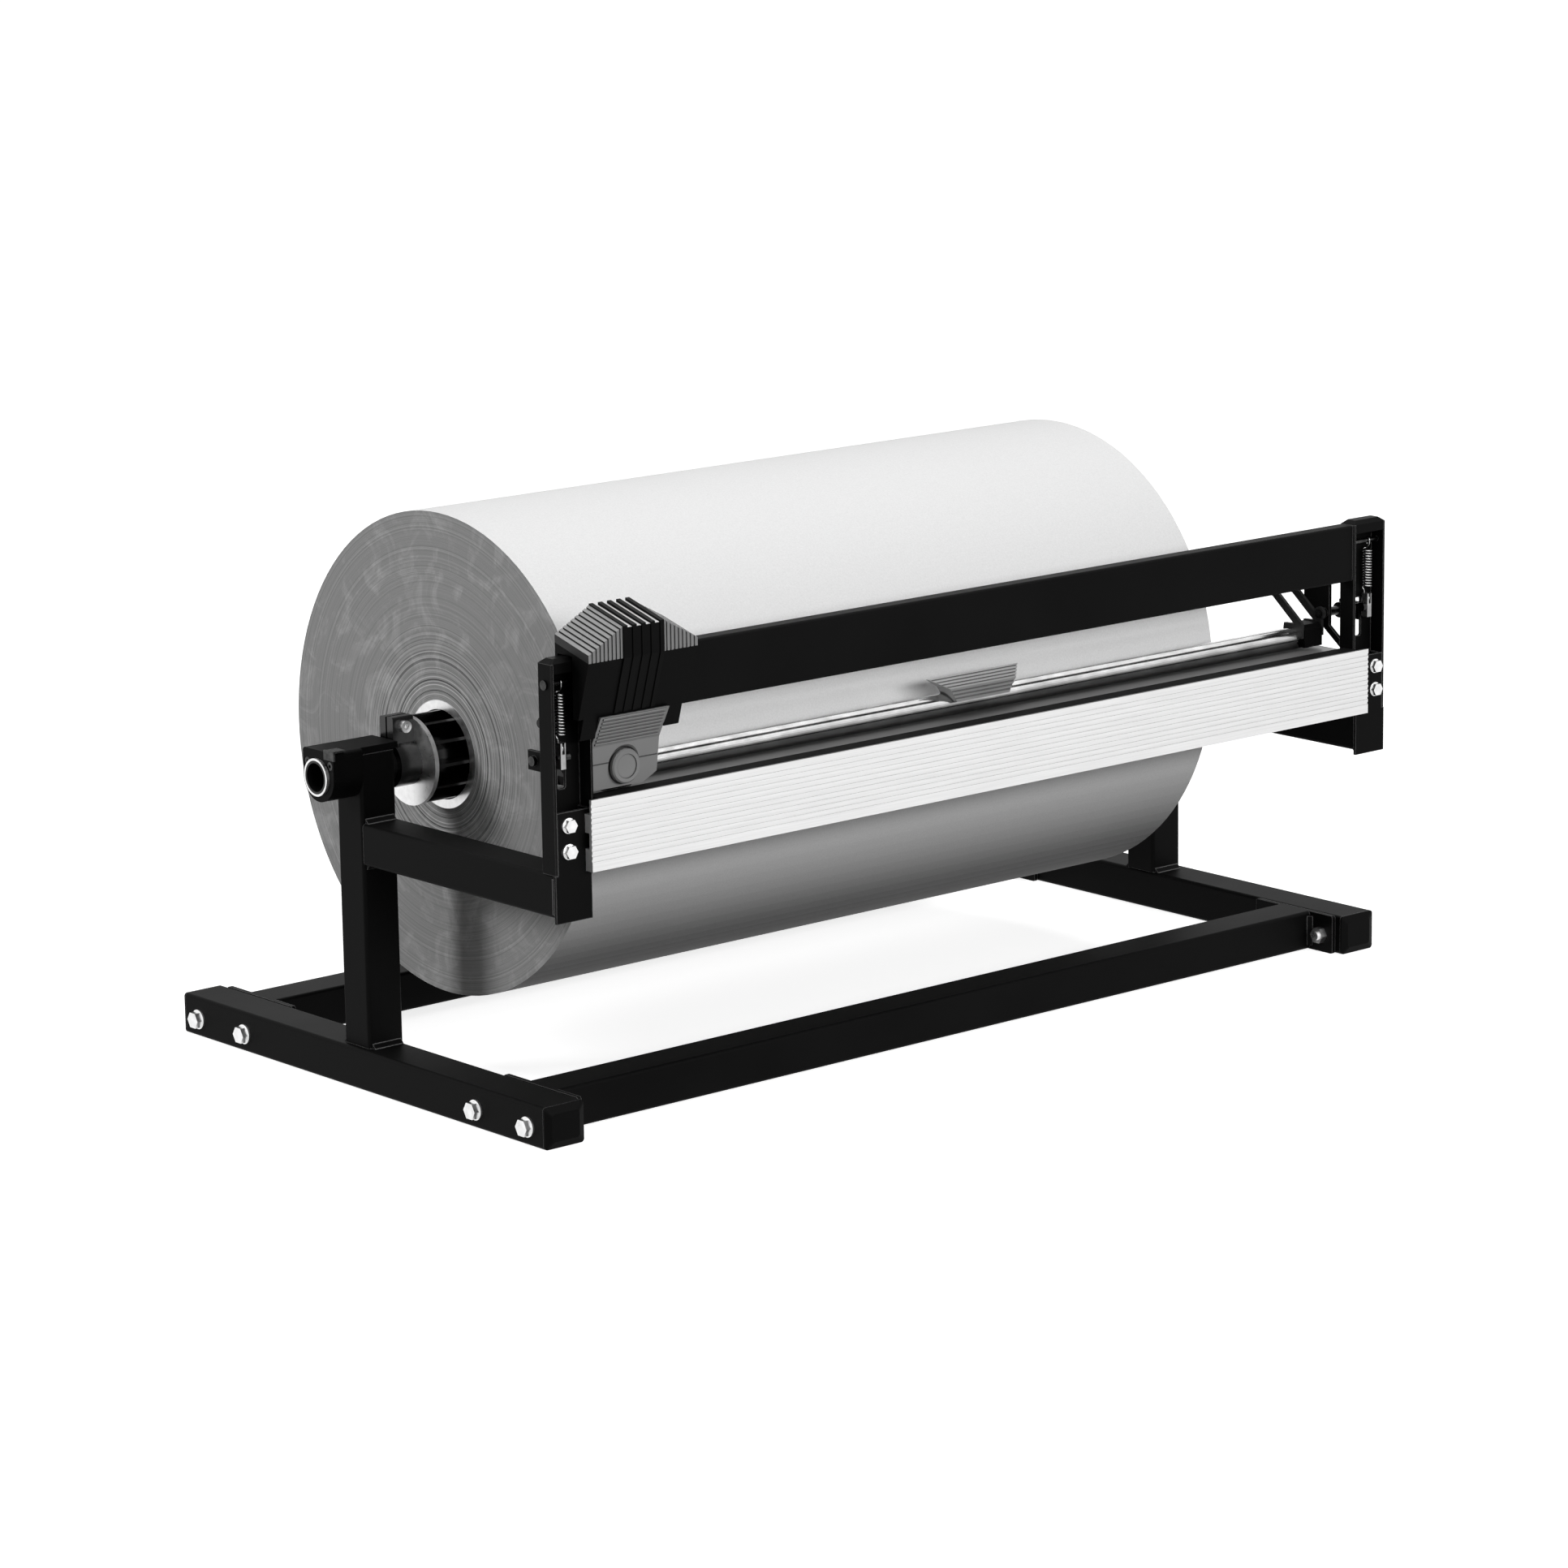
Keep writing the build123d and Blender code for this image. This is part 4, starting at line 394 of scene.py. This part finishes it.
# pieces whose finish differs from the rest of their slot
own_finish = {
    "head_spine": band, "head_roof_left": roof_moulding, "head_roof_right": roof_moulding,
    "press_springs": spring_wire, "spring_clevises": dark_zinc, "clamp_collars": glossy_black,
    "core_plug_left": glossy_black, "core_plug_right": glossy_black,
}
for part in frame["record"]["subparts"]:
    carried = frame["nodes"][part["node"]]
    for slot in carried.material_slots:
        slot.material = own_finish.get(part["node"], finish_of[part["material_slot"]])

# ------------------------------------------------------------ floor and light
FLOOR_HALF = 14.0
FLOOR_LIGHT = 0.05         # the floor as a source of light on the object
FLOOR_SEEN = 0.80          # the same floor to the eye, with the object's shadow on it
FLOOR_LIFT = 0.78          # added paleness round the object, that only the view sees
FAR_LIFT = 1.05            # the same further off, where the lamps reach less
NEAR_FLOOR = 0.9           # distances from the origin between which the one turns into the other
FAR_FLOOR = 2.2
FLOOR_MIRRORED = 1.0       # the floor as reflections see it
WORLD_FILL = 0.035         # light that reaches the object from all round
WORLD_SEEN = 1.0

# name, place, aimed at, width, height, power
SOFTBOXES = (
    ("top_light", (0.0, -0.3, 3.2), (0.0, 0.0, 0.2), 3.2, 2.0, 64.0),
    ("front_light", (0.1, -3.6, 1.35), (0.0, 0.0, 0.25), 3.4, 0.7, 68.0),
    ("left_light", (-3.1, 1.2, 1.5), (-0.35, 0.0, 0.28), 0.8, 0.8, 36.0),
)


def pale_floor():
    made = bpy.data.materials.new("pale_floor")
    made.use_nodes = True
    tree = made.node_tree
    tree.nodes.clear()
    path = tree.nodes.new("ShaderNodeLightPath").outputs
    matt = tree.nodes.new("ShaderNodeBsdfDiffuse")
    tone = mix(tree, path["Is Camera Ray"], grey(FLOOR_LIGHT), grey(FLOOR_SEEN))
    feed(tree, tone, matt.inputs["Color"])
    away = calculate_vector(tree, "LENGTH", place_on_piece(tree))
    pale = rescale(tree, away, NEAR_FLOOR, FAR_FLOOR, FLOOR_LIFT, FAR_LIFT)
    mirrored = calculate(tree, "MULTIPLY", path["Is Glossy Ray"], FLOOR_MIRRORED)
    glow = tree.nodes.new("ShaderNodeEmission")
    lift = calculate(tree, "MULTIPLY_ADD", path["Is Camera Ray"], pale, mirrored)
    feed(tree, lift, glow.inputs["Strength"])
    both = tree.nodes.new("ShaderNodeAddShader")
    tree.links.new(matt.outputs["BSDF"], both.inputs[0])
    tree.links.new(glow.outputs["Emission"], both.inputs[1])
    out = tree.nodes.new("ShaderNodeOutputMaterial")
    tree.links.new(both.outputs["Shader"], out.inputs["Surface"])
    return made


def make_floor():
    mesh = bpy.data.meshes.new("floor")
    far = FLOOR_HALF
    corners = [(-far, -far, 0), (far, -far, 0), (far, far, 0), (-far, far, 0)]
    mesh.from_pydata(corners, [], [(0, 1, 2, 3)])
    floor = bpy.data.objects.new("floor", mesh)
    scene.collection.objects.link(floor)
    mesh.materials.append(pale_floor())


def make_world():
    """White to the eye, in reflections and through glass, and a faint fill on the object."""
    world = bpy.data.worlds.new("studio")
    scene.world = world
    world.use_nodes = True
    tree = world.node_tree
    background = tree.nodes["Background"]
    background.inputs["Color"].default_value = grey(1.0)
    path = tree.nodes.new("ShaderNodeLightPath").outputs
    first = calculate(tree, "MAXIMUM", path["Is Camera Ray"], path["Is Glossy Ray"])
    seen = calculate(tree, "MAXIMUM", first, path["Is Transmission Ray"])
    level = rescale(tree, seen, to_low=WORLD_FILL, to_high=WORLD_SEEN)
    feed(tree, level, background.inputs["Strength"])


def softbox(name, place, target, width, height, power):
    data = bpy.data.lights.new(name, "AREA")
    data.shape = "RECTANGLE"
    data.size = width
    data.size_y = height
    data.energy = power
    lamp = bpy.data.objects.new(name, data)
    lamp.location = place
    aim = Vector(target) - Vector(place)
    lamp.rotation_euler = aim.to_track_quat("-Z", "Y").to_euler()
    scene.collection.objects.link(lamp)


make_camera()
make_floor()
make_world()
for lamp in SOFTBOXES:
    softbox(*lamp)

scene.view_settings.view_transform = "Standard"
